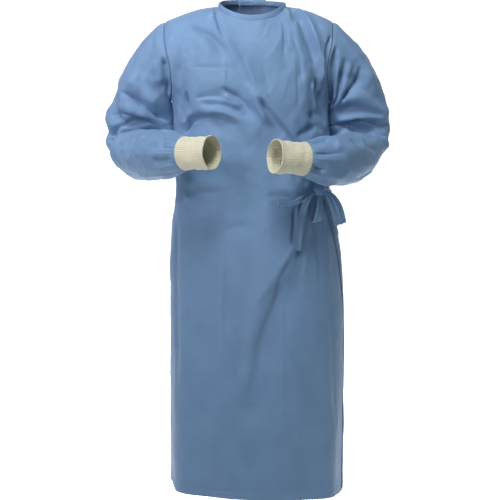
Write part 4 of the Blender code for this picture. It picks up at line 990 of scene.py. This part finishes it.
def cloth_material(name, settings, scale_u=1.0):
    """Matte nonwoven cloth: two close shades, tiny bond dots and loose fibres."""
    material = bpy.data.materials.new(name)
    material.use_nodes = True
    nodes, links = material.node_tree.nodes, material.node_tree.links
    shader = nodes["Principled BSDF"]
    socket(shader, "Roughness", settings.roughness)
    socket(shader, "Specular IOR Level", 0.35)
    socket(shader, "Sheen Weight", settings.sheen)
    socket(shader, "Sheen Roughness", 0.55)
    socket(shader, "Sheen Tint", (0.72, 0.82, 1.0, 1.0))
    place = nodes.new("ShaderNodeTexCoord")
    mottle = nodes.new("ShaderNodeTexNoise")
    mottle.inputs["Scale"].default_value = 14.0
    mottle.inputs["Detail"].default_value = 5.0
    mottle.inputs["Roughness"].default_value = 0.62
    links.new(place.outputs["Object"], mottle.inputs["Vector"])
    shades = nodes.new("ShaderNodeValToRGB")
    shades.color_ramp.elements[0].position = 0.30
    shades.color_ramp.elements[1].position = 0.72
    shades.color_ramp.elements[0].color = (*settings.shade, 1.0)
    shades.color_ramp.elements[1].color = (*settings.colour, 1.0)
    links.new(mottle.outputs["Fac"], shades.inputs["Fac"])
    links.new(shades.outputs["Color"], shader.inputs["Base Color"])
    flat = nodes.new("ShaderNodeUVMap")
    flat.uv_map = "flat"
    stretch = nodes.new("ShaderNodeMapping")
    stretch.inputs["Scale"].default_value = (scale_u * 900.0, 260.0, 1.0)
    links.new(flat.outputs["UV"], stretch.inputs["Vector"])
    fibres = nodes.new("ShaderNodeTexNoise")
    fibres.inputs["Scale"].default_value = 1.0
    fibres.inputs["Detail"].default_value = 3.0
    links.new(stretch.outputs["Vector"], fibres.inputs["Vector"])
    dots = nodes.new("ShaderNodeTexVoronoi")
    dots.inputs["Scale"].default_value = 520.0
    dots.inputs["Randomness"].default_value = 0.18
    links.new(flat.outputs["UV"], dots.inputs["Vector"])
    grain = nodes.new("ShaderNodeBump")
    grain.inputs["Strength"].default_value = 0.35
    grain.inputs["Distance"].default_value = 0.0002
    links.new(fibres.outputs["Fac"], grain.inputs["Height"])
    pressed = nodes.new("ShaderNodeBump")
    pressed.inputs["Strength"].default_value = 0.30
    pressed.inputs["Distance"].default_value = 0.00018
    links.new(dots.outputs["Distance"], pressed.inputs["Height"])
    links.new(grain.outputs["Normal"], pressed.inputs["Normal"])
    links.new(pressed.outputs["Normal"], shader.inputs["Normal"])
    return material


def knit_material(name, settings):
    """Cream rib knit with rows of small stitches along the ribs."""
    material = bpy.data.materials.new(name)
    material.use_nodes = True
    nodes, links = material.node_tree.nodes, material.node_tree.links
    shader = nodes["Principled BSDF"]
    socket(shader, "Roughness", 0.88)
    socket(shader, "Specular IOR Level", 0.2)
    socket(shader, "Sheen Weight", 0.45)
    socket(shader, "Sheen Roughness", 0.6)
    place = nodes.new("ShaderNodeTexCoord")
    mottle = nodes.new("ShaderNodeTexNoise")
    mottle.inputs["Scale"].default_value = 30.0
    mottle.inputs["Detail"].default_value = 3.0
    links.new(place.outputs["Object"], mottle.inputs["Vector"])
    shades = nodes.new("ShaderNodeValToRGB")
    shades.color_ramp.elements[0].position = 0.3
    shades.color_ramp.elements[1].position = 0.7
    shades.color_ramp.elements[0].color = (*[c * 0.9 for c in settings.knit], 1.0)
    shades.color_ramp.elements[1].color = (*settings.knit, 1.0)
    links.new(mottle.outputs["Fac"], shades.inputs["Fac"])
    links.new(shades.outputs["Color"], shader.inputs["Base Color"])
    flat = nodes.new("ShaderNodeUVMap")
    flat.uv_map = "flat"
    rows = nodes.new("ShaderNodeTexWave")
    rows.bands_direction = "Y"
    rows.inputs["Scale"].default_value = 75.0
    rows.inputs["Distortion"].default_value = 0.8
    rows.inputs["Detail"].default_value = 1.0
    links.new(flat.outputs["UV"], rows.inputs["Vector"])
    wales = nodes.new("ShaderNodeTexWave")
    wales.bands_direction = "X"
    wales.inputs["Scale"].default_value = 110.0
    wales.inputs["Distortion"].default_value = 0.5
    links.new(flat.outputs["UV"], wales.inputs["Vector"])
    loops = nodes.new("ShaderNodeBump")
    loops.inputs["Strength"].default_value = 0.45
    loops.inputs["Distance"].default_value = 0.0004
    links.new(rows.outputs["Fac"], loops.inputs["Height"])
    lines = nodes.new("ShaderNodeBump")
    lines.inputs["Strength"].default_value = 0.35
    lines.inputs["Distance"].default_value = 0.0004
    links.new(wales.outputs["Fac"], lines.inputs["Height"])
    links.new(loops.outputs["Normal"], lines.inputs["Normal"])
    links.new(lines.outputs["Normal"], shader.inputs["Normal"])
    return material


def thread_material(name, settings):
    """Twisted sewing thread."""
    material = bpy.data.materials.new(name)
    material.use_nodes = True
    nodes, links = material.node_tree.nodes, material.node_tree.links
    shader = nodes["Principled BSDF"]
    socket(shader, "Roughness", 0.55)
    socket(shader, "Sheen Weight", 0.3)
    place = nodes.new("ShaderNodeTexCoord")
    mottle = nodes.new("ShaderNodeTexNoise")
    mottle.inputs["Scale"].default_value = 120.0
    links.new(place.outputs["Object"], mottle.inputs["Vector"])
    shades = nodes.new("ShaderNodeValToRGB")
    shades.color_ramp.elements[0].color = (*[c * 0.85 for c in settings.thread], 1.0)
    shades.color_ramp.elements[1].color = (*settings.thread, 1.0)
    links.new(mottle.outputs["Fac"], shades.inputs["Fac"])
    links.new(shades.outputs["Color"], shader.inputs["Base Color"])
    return material


def material_named(kind):
    """The material of that kind, made once."""
    name = "gown_" + kind
    if name in bpy.data.materials:
        return bpy.data.materials[name]
    settings = bpy.context.scene.gown_look
    if kind == "knit":
        return knit_material(name, settings)
    if kind == "thread":
        return thread_material(name, settings)
    return cloth_material(name, settings)


# ---------------------------------------------------------------- making cloth


def mapped_mesh(name, points, flat, flip, weld):
    """A grid whose points are given row by row, with its flat pattern as a UV map."""
    rows, columns = points.shape[:2]
    sheet = bmesh.new()
    bmesh.ops.create_grid(sheet, x_segments=columns - 1, y_segments=rows - 1, size=1.0)
    mesh = bpy.data.meshes.new(name)
    sheet.to_mesh(mesh)
    sheet.free()
    place = np.empty(len(mesh.vertices) * 3, np.float32)
    mesh.vertices.foreach_get("co", place)
    place = place.reshape(-1, 3)
    across = np.rint((place[:, 0] + 1) / 2 * (columns - 1)).astype(int)
    along = np.rint((place[:, 1] + 1) / 2 * (rows - 1)).astype(int)
    mesh.vertices.foreach_set("co", points[along, across].astype(np.float32).ravel())
    corner = np.empty(len(mesh.loops), np.int32)
    mesh.loops.foreach_get("vertex_index", corner)
    layer = mesh.uv_layers.new(name="flat")
    layer.data.foreach_set("uv", flat[along, across][corner].astype(np.float32).ravel())
    sheet = bmesh.new()
    sheet.from_mesh(mesh)
    if weld:
        bmesh.ops.remove_doubles(sheet, verts=sheet.verts, dist=1e-6)
    if flip:
        bmesh.ops.reverse_faces(sheet, faces=sheet.faces)
    sheet.to_mesh(mesh)
    sheet.free()
    mesh.shade_smooth()
    return mesh


def flat_pattern(points):
    """Flat places for a grid of points, true to length along its middle lines."""
    middle = points[:, points.shape[1] // 2]
    up = np.r_[0, np.cumsum(np.linalg.norm(np.diff(middle, axis=0), axis=-1))]
    steps = np.linalg.norm(np.diff(points, axis=1), axis=-1).mean(0)
    across = np.r_[0, np.cumsum(steps)]
    return np.stack(np.meshgrid(across, up), -1)


def add_piece(name, mesh, kind, node=None, wall=None):
    """Puts a mesh in the scene as a piece of the gown."""
    mesh.materials.append(material_named(kind))
    obj = bpy.data.objects.new(name, mesh)
    bpy.context.scene.collection.objects.link(obj)
    if wall:
        thickness = obj.modifiers.new("Wall", "SOLIDIFY")
        thickness.thickness = wall
        thickness.offset = -1.0
        thickness.use_quality_normals = True
    if node:
        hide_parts(node)
    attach(obj, "root")
    return obj


def add_cloth(node, points, kind="cloth", wall=None, flip=False, weld=False):
    """A cloth piece that stands for a node."""
    mesh = mapped_mesh(node + "_cloth", points, flat_pattern(points), flip, weld)
    wall = wall or bpy.context.scene.gown_look.wall
    return add_piece(node + "_cloth", mesh, kind, node, wall)


def edged_shares(count):
    """Even steps from 0 to 1, with finer ones beside both ends."""
    fine = np.arange(EDGE_COLUMNS) * EDGE_STEP
    middle = np.linspace(EDGE_COLUMNS * EDGE_STEP, 1 - EDGE_COLUMNS * EDGE_STEP, count)
    return np.r_[fine, middle, 1 - fine[::-1]]


def body_rows():
    """The v of each row of a body panel, from the hem to the top."""
    hem = np.linspace(HEM_Z, HEM_ROWS_TOP, HEM_ROWS, endpoint=False)
    skirt = np.linspace(HEM_ROWS_TOP, WAIST_ROWS_START, SKIRT_ROWS, endpoint=False)
    waist = np.linspace(WAIST_ROWS_START, UNDERARM_Z, WAIST_ROWS, endpoint=False)
    lower = (np.r_[hem, skirt, waist] - HEM_Z) / (UNDERARM_Z - HEM_Z)
    return np.r_[lower, np.linspace(1, 3, 2 * ARM_QUARTER + 1)]


def stitch_row(name, points, normals, pitch, length, thickness, kind="thread"):
    """A row of sewn stitches along points, each a short thread that dips at both ends."""
    along = np.linalg.norm(np.diff(points, axis=0), axis=-1)
    reach = np.r_[0, np.cumsum(along)]
    count = max(int(reach[-1] / pitch), 2)
    row = bmesh.new()
    for k in range(count):
        middle = (k + 0.5) * reach[-1] / count
        ends = [middle - length / 2, middle + length / 2]
        a, b = (Vector([np.interp(e, reach, points[:, c]) for c in range(3)]) for e in ends)
        up = Vector([np.interp(middle, reach, normals[:, c]) for c in range(3)]).normalized()
        tangent = (b - a).normalized()
        across = up.cross(tangent).normalized()
        made = bmesh.ops.create_icosphere(row, subdivisions=1, radius=0.5)["verts"]
        centre = (a + b) / 2 + up * thickness * 0.15
        for vert in made:
            x, y, z = vert.co
            bend = up * thickness * (0.35 - 1.4 * x * x)
            vert.co = centre + tangent * x * length * 1.15 + across * y * thickness
            vert.co += up * z * thickness * 0.8 + bend
    mesh = bpy.data.meshes.new(name)
    row.to_mesh(mesh)
    row.free()
    mesh.shade_smooth()
    return add_piece(name, mesh, kind)


def line_on(surface, u, v, lift=0.0004):
    """(points, normals) along a line on a surface given by two rows of places."""
    points = surface(u, v, lift)
    above = surface(u, v, lift + 0.001)
    return points, unit(above - points)


# ---------------------------------------------------------------- ties


def on_front(x, z, lift):
    """(point, normal) over the front panel at a place seen from the front."""
    v = np.float64((z - HEM_Z) / (UNDERARM_Z - HEM_Z))
    shares = np.linspace(0.5, 1.0, 4001)
    s = shares[np.abs(body_base(FRONT, shares, np.full_like(shares, v))[:, 0] - x).argmin()]
    normal = body_normal(FRONT, s, v)
    folds = fold_rise(FRONT_FOLDS, body_base(FRONT, s, v)[[0, 2]])
    return body_base(FRONT, s, v) + normal * (lift + folds), normal


def on_flap(s, z, lift):
    """(point, normal) over the outer flap, where s goes past 1 over the wearer's left side."""
    v = np.float64((z - HEM_Z) / (UNDERARM_Z - HEM_Z))
    normal = body_normal(BACK, np.float64(s), v)
    folds = fold_rise(FRONT_FOLDS if s > 1 else BACK_FOLDS, body_base(BACK, np.float64(s), v)[[0, 2]])
    folds *= ease(abs(1 - s) / FOLD_FADE)
    return body_base(BACK, np.float64(s), v) + normal * (LAP + lift + folds), normal


def knot_centre():
    """The middle of the bow's knot."""
    return on_front(*KNOT_PLACE, KNOT_LIFT)[0]


def knot_side(degrees, depth, clear=0.0003):
    """A place just off the knot: degrees round it as seen from the front, depth backwards."""
    turn = math.radians(degrees)
    direction = unit(np.array([math.cos(turn), depth, math.sin(turn)]))
    return knot_centre() + direction * (KNOT_SIZE * 1.04 + clear)


def strap_points(route, facings, width, count, pinched, pleats):
    """A strap along a smooth route, with pleats where the knot pinches it and a soft edge."""
    t, across_share = np.meshgrid(np.linspace(0, 1, count), np.linspace(0, 1, 17), indexing="ij")
    low, high = np.maximum(t - 0.004, 0), np.minimum(t + 0.004, 1)
    along = unit(smooth_route(route, high) - smooth_route(route, low))
    facing = smooth_route(facings, t)
    across = unit(np.cross(along, facing))
    out = np.cross(across, along)
    near = np.full(t.shape, 1.0)
    for end in pinched:
        near = np.minimum(near, np.abs(t - end))
    narrow = mix(PINCH, 1.0, ease(near / PINCH_SPAN))
    bow = STRAP_BOW * (1 - (2 * across_share - 1) ** 2) * narrow
    pleat = np.cos(2 * math.pi * pleats * across_share + 0.6 * np.sin(6 * t))
    bow += pleat * mix(0.0018, 0.0010, ease(near / 0.5)) * narrow * ease(near / 0.02)
    bow += 0.0005 * np.sin(21 * t + 3 * across_share) * ease(near / 0.1)
    edge = 0.0004 * (np.exp(-((across_share / 0.09) ** 2)) + np.exp(-(((1 - across_share) / 0.09) ** 2)))
    centre = smooth_route(route, t)
    shift = ((across_share - 0.5) * width * narrow)[..., None]
    return centre + across * shift + out * (bow + edge)[..., None]


def add_strap(node, route, facings, width, count, pinched, flip, pleats=2.5):
    """A tie's strip as a piece of cloth."""
    points = strap_points(route, facings, width, count, pinched, pleats).transpose(1, 0, 2)
    add_cloth(node, points, wall=STRAP, flip=flip)


# ---------------------------------------------------------------- operators


class GownLook(bpy.types.PropertyGroup):
    """The sizes and colours of the gown's cloth."""

    colour: bpy.props.FloatVectorProperty(
        name="Cloth", description="The cloth's lighter shade",
        default=(0.145, 0.265, 0.430), size=3, min=0.0, max=1.0, subtype="COLOR",
    )
    shade: bpy.props.FloatVectorProperty(
        name="Cloth shade", description="The cloth's darker shade",
        default=(0.122, 0.230, 0.385), size=3, min=0.0, max=1.0, subtype="COLOR",
    )
    knit: bpy.props.FloatVectorProperty(
        name="Cuffs", description="The knitted cuffs' colour",
        default=(0.66, 0.66, 0.49), size=3, min=0.0, max=1.0, subtype="COLOR",
    )
    thread: bpy.props.FloatVectorProperty(
        name="Thread", description="The sewing thread's colour",
        default=(0.17, 0.28, 0.46), size=3, min=0.0, max=1.0, subtype="COLOR",
    )
    roughness: bpy.props.FloatProperty(
        name="Roughness", description="How matte the cloth is", default=0.66, min=0.0, max=1.0,
    )
    sheen: bpy.props.FloatProperty(
        name="Sheen", description="How much light the loose fibres catch",
        default=0.14, min=0.0, max=1.0,
    )
    wall: bpy.props.FloatProperty(
        name="Cloth wall", description="How thick the cloth is",
        default=0.0011, min=0.0005, max=0.003, unit="LENGTH",
    )
    ribs: bpy.props.IntProperty(
        name="Ribs", description="How many ribs go round a cuff", default=46, min=20, max=90,
    )
    rib_rise: bpy.props.FloatProperty(
        name="Rib height", description="How far a cuff's ribs stand out",
        default=0.0017, min=0.0, max=0.003, unit="LENGTH",
    )


class GownStage(bpy.types.PropertyGroup):
    """The studio round the gown."""

    floor_z: bpy.props.FloatProperty(
        name="Floor", description="The floor's height", default=-1.42, unit="LENGTH",
    )
    pale: bpy.props.FloatVectorProperty(
        name="Floor colour", description="The floor's and the backdrop's colour",
        default=(0.92, 0.92, 0.92), size=3, min=0.0, max=1.0, subtype="COLOR",
    )
    key: bpy.props.FloatProperty(
        name="Main light", description="The main light's power", default=60.0, unit="POWER",
    )
    fill: bpy.props.FloatProperty(
        name="Fill light", description="The power of the narrow light on the wearer's right",
        default=2.5, unit="POWER",
    )
    room: bpy.props.FloatProperty(
        name="Side light", description="The power of the wide light at the side",
        default=8.0, unit="POWER",
    )
    backdrop: bpy.props.FloatProperty(
        name="Backdrop light", description="The power of each light on the backdrop",
        default=170.0, unit="POWER",
    )
    world: bpy.props.FloatProperty(
        name="Room light", description="How bright the surroundings are", default=0.22, min=0.0,
    )


class GOWN_OT_panels(bpy.types.Operator):
    """Makes the front panel and the two back flaps."""

    bl_idname = "gown.panels"
    bl_label = "Panels"

    def execute(self, context):
        v = body_rows()
        for node, cloth, count, flip in (
            ("front", front_cloth, 160, False),
            ("back_right", outer_cloth, 140, True),
            ("back_left", under_cloth, 104, False),
        ):
            c, rows = np.meshgrid(edged_shares(count), v)
            points = cloth(c, rows)
            if node == "front":
                for end, near in ((0, 4), (-1, -5)):
                    points[:, end] = inset(points[:, end], points[:, near])
            points[-1] = inset(points[-1], points[-3])
            obj = add_cloth(node, points, flip=flip)
        return {"FINISHED"}


class GOWN_OT_sleeves(bpy.types.Operator):
    """Makes the two sleeves."""

    bl_idname = "gown.sleeves"
    bl_label = "Sleeves"

    def execute(self, context):
        w = np.r_[
            -1.0, -0.993, -0.984, -0.973, -0.960,
            np.linspace(-0.945, 0.0, 44), np.linspace(0.05, 3.0, 60), np.linspace(3.06, 7.0, 68),
        ]
        q = np.linspace(0, 1, 4 * ARM_QUARTER + 1)
        for side, node in ((RIGHT, "sleeve_right"), (LEFT, "sleeve_left")):
            round_share, stations = np.meshgrid(q, w)
            points = sleeve_cloth(side, stations, round_share)
            obj = add_cloth(node, points, flip=side == LEFT, weld=True)
        return {"FINISHED"}


class GOWN_OT_cuffs(bpy.types.Operator):
    """Makes the two knitted cuffs."""

    bl_idname = "gown.cuffs"
    bl_label = "Cuffs"

    def execute(self, context):
        look = context.scene.gown_look
        steps = 6 * look.ribs
        w = np.linspace(0.0, 1.0, 40)
        q = np.linspace(0, 1, steps + 1)
        for side, node in ((RIGHT, "cuff_right"), (LEFT, "cuff_left")):
            round_share, along = np.meshgrid(q, w)
            points = cuff_points(side, along, round_share, look)
            obj = add_cloth(node, points, "knit", 0.0016, side == LEFT, True)
        return {"FINISHED"}


def cuff_points(side, along, q, look):
    """Points of a cuff, whose ribs run along the arm."""
    centre, radii, tangent, outward, fore = arm_frame(side, WRIST + along)
    centre = centre + tangent * (SEAM_GAP * (along == 0))[..., None]
    turn = 2 * math.pi * q
    rib = np.abs(np.cos(math.pi * look.ribs * q)) ** 0.7
    reach = radii[0][..., 0] * (1 - 0.05 * np.sin(math.pi * along)) - 0.0008
    base = centre + (outward * np.cos(turn)[..., None] + fore * np.sin(turn)[..., None]) * 0.04
    reach += look.rib_rise * (rib - 1.0)
    wave = solid_ripple(base, 0.050, 31 + side)
    reach += 0.0009 * wave * ease(along / 0.1)
    reach += 0.0007 * np.sin(2 * math.pi * 3.2 * along + 2 * np.sin(turn)) * ease(along / 0.1)
    reach += 0.0008 * ease((along - 0.90) / 0.06)
    circle = outward * np.cos(turn)[..., None] + fore * np.sin(turn)[..., None]
    return centre + circle * reach[..., None]


class GOWN_OT_neck(bpy.types.Operator):
    """Makes the folded binding along the neck's edge."""

    bl_idname = "gown.neck"
    bl_label = "Neck binding"

    def execute(self, context):
        point, outward, up = neck_path()
        profile = (
            (0.0009, -0.0030), (0.0011, -0.0015), (0.0011, 0.0005), (0.0013, 0.0040),
            (0.0012, 0.0080), (0.0010, 0.0098), (0.0005, 0.0108), (-0.0004, 0.0113),
            (-0.0013, 0.0107), (-0.0019, 0.0095), (-0.0022, 0.0060), (-0.0023, 0.0010),
            (-0.0024, -0.0030),
        )
        places = np.array(profile)
        rows = point[None] + outward[None] * places[:, :1, None] + up[None] * places[:, 1:, None]
        wave = 0.00035 * solid_ripple(rows, 0.020, 51)
        rows = rows + outward[None] * wave[..., None]
        obj = add_cloth("neck_binding", rows, "cloth", 0.0007, True)
        lines = point + outward * 0.0018 - up * 0.0006
        stitch_row("neck_stitches", lines, outward, 0.0036, 0.0024, 0.0006)
        return {"FINISHED"}


def neck_path():
    """(points, outward, up) along the neck's edge, from the under flap's end round the wearer's
    left, the front and the right to the outer flap's end."""
    back_left = np.linspace(UNDER_EDGE_TOP, 1 - SHOULDER_SHARE, 40, endpoint=False)
    front = np.linspace(1 - SHOULDER_SHARE, SHOULDER_SHARE, 110)
    back_right = np.linspace(SHOULDER_SHARE, OUTER_EDGE_TOP, 70)[1:]
    found = []
    for half, s, lifted in (
        (BACK, back_left, False), (FRONT, front, False), (BACK, back_right, True),
    ):
        v = np.full_like(s, 3.0)
        lift = (outer_lift(s, v) if lifted else np.zeros_like(s))[:, None]
        found.append(body_base(half, s, v) + body_normal(half, s, v) * lift)
    point = smoothed(np.concatenate(found), 6)
    tangent = unit(smoothed(np.gradient(point, axis=0), 4))
    away = unit((point - (0.0, SHOULDER_SEAM_Y, 0.0)) * (1.0, 1.0, 0.0))
    up = np.array((0.0, 0.0, 1.0)) - NECK_LEAN * away
    up = unit(up - tangent * (up * tangent).sum(-1, keepdims=True))
    outward = np.cross(tangent, up)
    return point, outward * np.sign((outward * away).sum(-1, keepdims=True)), up


def smoothed(rows, times):
    """Rows of points with each one drawn towards the middle of its neighbours."""
    for _ in range(times):
        rows = np.r_[rows[:1], (rows[:-2] + 2 * rows[1:-1] + rows[2:]) / 4, rows[-1:]]
    return rows


class GOWN_OT_bow(bpy.types.Operator):
    """Makes the ties and the bow that they make."""

    bl_idname = "gown.bow"
    bl_label = "Ties and bow"

    def execute(self, context):
        centre = knot_centre()
        ties = (
            ("tie_front", on_front, FRONT_TIE_RESTS, knot_side(190, 0.3, -0.0003), 48, True),
            ("tie_back", on_flap, BACK_TIE_RESTS, knot_side(8, 1.0, -0.0001), 42, False),
        )
        for node, over, rests, end, count, flip in ties:
            places = [over(*rest) for rest in rests]
            route = [point for point, _ in places] + [end]
            facings = [normal for _, normal in places] + [places[-1][1]]
            add_strap(node, route, facings, 0.020, count, (1,), flip)
        ahead = np.array((0.0, -1.0, 0.0))
        round_end = unit(np.array((0.3, 0.0, -1.0)))
        hanging = [centre + np.array(offset) for offset in SIDE_LOOP_OFFSETS]
        route = [knot_side(-10, -0.7)] + hanging + [knot_side(-24, 0.7)]
        facings = [ahead] * 3 + [round_end] + [-ahead] * 3
        add_strap("bow_loop_side", route, facings, 0.030, 110, (0, 1), True)
        places = [on_front(*rest) for rest in FRONT_LOOP_RESTS]
        hanging = [point for point, _ in places]
        route = [knot_side(-92, -0.7)] + hanging + [knot_side(-88, 0.6, 0.0040)]
        outward = places[0][1]
        facings = [outward] * 3 + [np.array((0.0, 0.0, -1.0))] + [-outward] * 3
        add_strap("bow_loop_front", route, facings, 0.024, 100, (0, 1), True)
        for node, over, rests, start, count in (
            ("bow_tail_front", on_front, FRONT_TAIL_RESTS, knot_side(-150, -0.7), 80),
            ("bow_tail_side", on_flap, SIDE_TAIL_RESTS, knot_side(-55, 1.4), 64),
        ):
            places = [over(*rest) for rest in rests]
            route = [start] + [point for point, _ in places]
            facings = [places[0][1]] + [normal for _, normal in places]
            add_strap(node, route, facings, 0.016, count, (0,), True, 1.0)
        make_knot(centre)
        return {"FINISHED"}


def make_knot(centre):
    """The knot: a rounded lump wrapped by a pleated band."""
    knot = bmesh.new()
    bmesh.ops.create_uvsphere(knot, u_segments=64, v_segments=40, radius=1.0)
    layer = knot.loops.layers.uv.new("flat")
    for vert in knot.verts:
        x, y, z = vert.co
        turn = math.atan2(y, x)
        band = math.exp(-((x / 0.55) ** 2))
        pleat = 0.05 * math.cos(9 * x + 1.2 * z) * band + 0.04 * math.cos(3 * turn + 4 * z)
        grow = 0.93 + 0.10 * band + pleat
        place = Vector((x, y, z)) * grow
        vert.co = Vector(centre) + Vector([c * size for c, size in zip(place, KNOT_SIZE)])
    for face in knot.faces:
        for loop in face.loops:
            loop[layer].uv = (loop.vert.co.x, loop.vert.co.z)
    mesh = bpy.data.meshes.new("bow_knot_cloth")
    knot.to_mesh(mesh)
    knot.free()
    mesh.shade_smooth()
    add_piece("bow_knot_cloth", mesh, "cloth", "bow_knot")


class GOWN_OT_stitching(bpy.types.Operator):
    """Makes the stitch rows along the hems and the outer flap's free edge."""

    bl_idname = "gown.stitching"
    bl_label = "Stitching"

    def execute(self, context):
        height = UNDERARM_Z - HEM_Z
        v = np.full(420, (HEM_DEPTH - 0.002) / height)
        for name, cloth in (("front", front_cloth), ("back_right", outer_cloth)):
            c = np.linspace(0.004, 0.996, 420)
            points, normals = line_on(cloth, c, v)
            stitch_row(name + "_hem_stitches", points, normals, 0.0042, 0.0030, 0.0006)
        v = np.linspace(0.004, 1.4, 420)
        end = edge_share(OUTER_EDGE, OUTER_EDGE_TOP, v)
        c = (end - 0.010 / 0.62) / end
        points, normals = line_on(outer_cloth, c, v)
        stitch_row("flap_edge_stitches", points, normals, 0.0042, 0.0030, 0.0006)
        return {"FINISHED"}


class GOWN_OT_stage(bpy.types.Operator):
    """Makes the floor, the backdrop, the lights and the camera."""

    bl_idname = "gown.stage"
    bl_label = "Stage"

    def execute(self, context):
        stage = context.scene.gown_stage
        rows = np.linspace(0, 1, 60)
        columns = np.linspace(-9.0, 9.0, 3)
        bend = np.clip((rows - 0.55) / 0.2, 0, 1) * math.pi / 2
        radius = 1.6
        y = np.where(rows < 0.55, mix(-9.0, 5.5, rows / 0.55), 5.5 + radius * np.sin(bend))
        z = np.where(rows < 0.55, 0.0, radius * (1 - np.cos(bend)))
        z += np.clip((rows - 0.75) / 0.25, 0, 1) * 4.0
        points = np.stack(np.broadcast_arrays(columns[None], y[:, None], z[:, None]), -1)
        points = points + np.array([0.0, 0.0, stage.floor_z])
        mesh = mapped_mesh("floor", points, points[..., :2], False, False)
        material = bpy.data.materials.new("studio_floor")
        material.use_nodes = True
        shader = material.node_tree.nodes["Principled BSDF"]
        socket(shader, "Base Color", (*stage.pale, 1.0))
        socket(shader, "Roughness", 0.9)
        mesh.materials.append(material)
        floor = bpy.data.objects.new("floor", mesh)
        context.scene.collection.objects.link(floor)
        add_light("key_light", (-0.22, -1.55, 2.15), (0.0, 0.0, -0.25), stage.key, 0.8)
        add_light("room_light", (-2.0, -2.9, -0.5), (0.0, 0.0, -1.0), stage.room, 1.6)
        fill = add_light("fill_light", (-1.7, -2.0, 1.0), (-0.24, 0.0, 0.02), stage.fill, 0.7)
        fill.spread = math.radians(36)
        fill.color = (1.0, 0.86, 0.95)
        for name, side in (("backdrop_light_right", -1), ("backdrop_light_left", 1)):
            place, target = (side * 2.6, 3.0, 1.4), (side * 0.3, 6.6, -0.6)
            add_light(name, place, target, stage.backdrop, 1.6)
        low = add_light("floor_light", (0.0, 2.5, 2.6), (0.0, 2.5, -1.4), stage.backdrop, 1.5)
        low.spread = math.radians(76)
        world = bpy.data.worlds.new("room")
        world.use_nodes = True
        background = world.node_tree.nodes["Background"]
        background.inputs["Color"].default_value = (0.95, 0.97, 1.0, 1.0)
        background.inputs["Strength"].default_value = stage.world
        context.scene.world = world
        context.scene.view_settings.view_transform = "Standard"
        lens = bpy.data.cameras.new("camera")
        lens.sensor_width = 36.0
        lens.lens = 115.2
        camera = bpy.data.objects.new("camera", lens)
        camera.location = (-0.005, -4.0, -0.25)
        aim = Vector((-0.005, 0.0, -0.605)) - camera.location
        camera.rotation_mode = "QUATERNION"
        camera.rotation_quaternion = aim.to_track_quat("-Z", "Y")
        context.scene.collection.objects.link(camera)
        context.scene.camera = camera
        return {"FINISHED"}


def add_light(name, place, target, power, size):
    """A square soft light at a place, turned to its target."""
    data = bpy.data.lights.new(name, "AREA")
    data.energy = power
    data.size = size
    light = bpy.data.objects.new(name, data)
    light.location = place
    light.rotation_mode = "QUATERNION"
    light.rotation_quaternion = (Vector(target) - Vector(place)).to_track_quat("-Z", "Y")
    bpy.context.scene.collection.objects.link(light)
    return data


class GOWN_PT_panel(bpy.types.Panel):
    """The gown's steps and settings."""

    bl_label = "Surgical gown"
    bl_space_type = "VIEW_3D"
    bl_region_type = "UI"
    bl_category = "Gown"

    def draw(self, context):
        for group in (context.scene.gown_look, context.scene.gown_stage):
            for name in group.bl_rna.properties.keys():
                if name not in ("rna_type", "name"):
                    self.layout.prop(group, name)
        for operator in OPERATORS:
            self.layout.operator(operator.bl_idname)


OPERATORS = (
    GOWN_OT_panels,
    GOWN_OT_sleeves,
    GOWN_OT_cuffs,
    GOWN_OT_neck,
    GOWN_OT_bow,
    GOWN_OT_stitching,
    GOWN_OT_stage,
)
CLASSES = (GownLook, GownStage, *OPERATORS, GOWN_PT_panel)


def register():
    for kind in CLASSES:
        bpy.utils.register_class(kind)
    bpy.types.Scene.gown_look = bpy.props.PointerProperty(type=GownLook)
    bpy.types.Scene.gown_stage = bpy.props.PointerProperty(type=GownStage)


def unregister():
    del bpy.types.Scene.gown_stage
    del bpy.types.Scene.gown_look
    for kind in reversed(CLASSES):
        bpy.utils.unregister_class(kind)


def main():
    register()
    bpy.ops.gown.panels()
    bpy.ops.gown.sleeves()
    bpy.ops.gown.cuffs()
    bpy.ops.gown.neck()
    bpy.ops.gown.bow()
    bpy.ops.gown.stitching()
    bpy.ops.gown.stage()


if __name__ == "__main__":
    main()
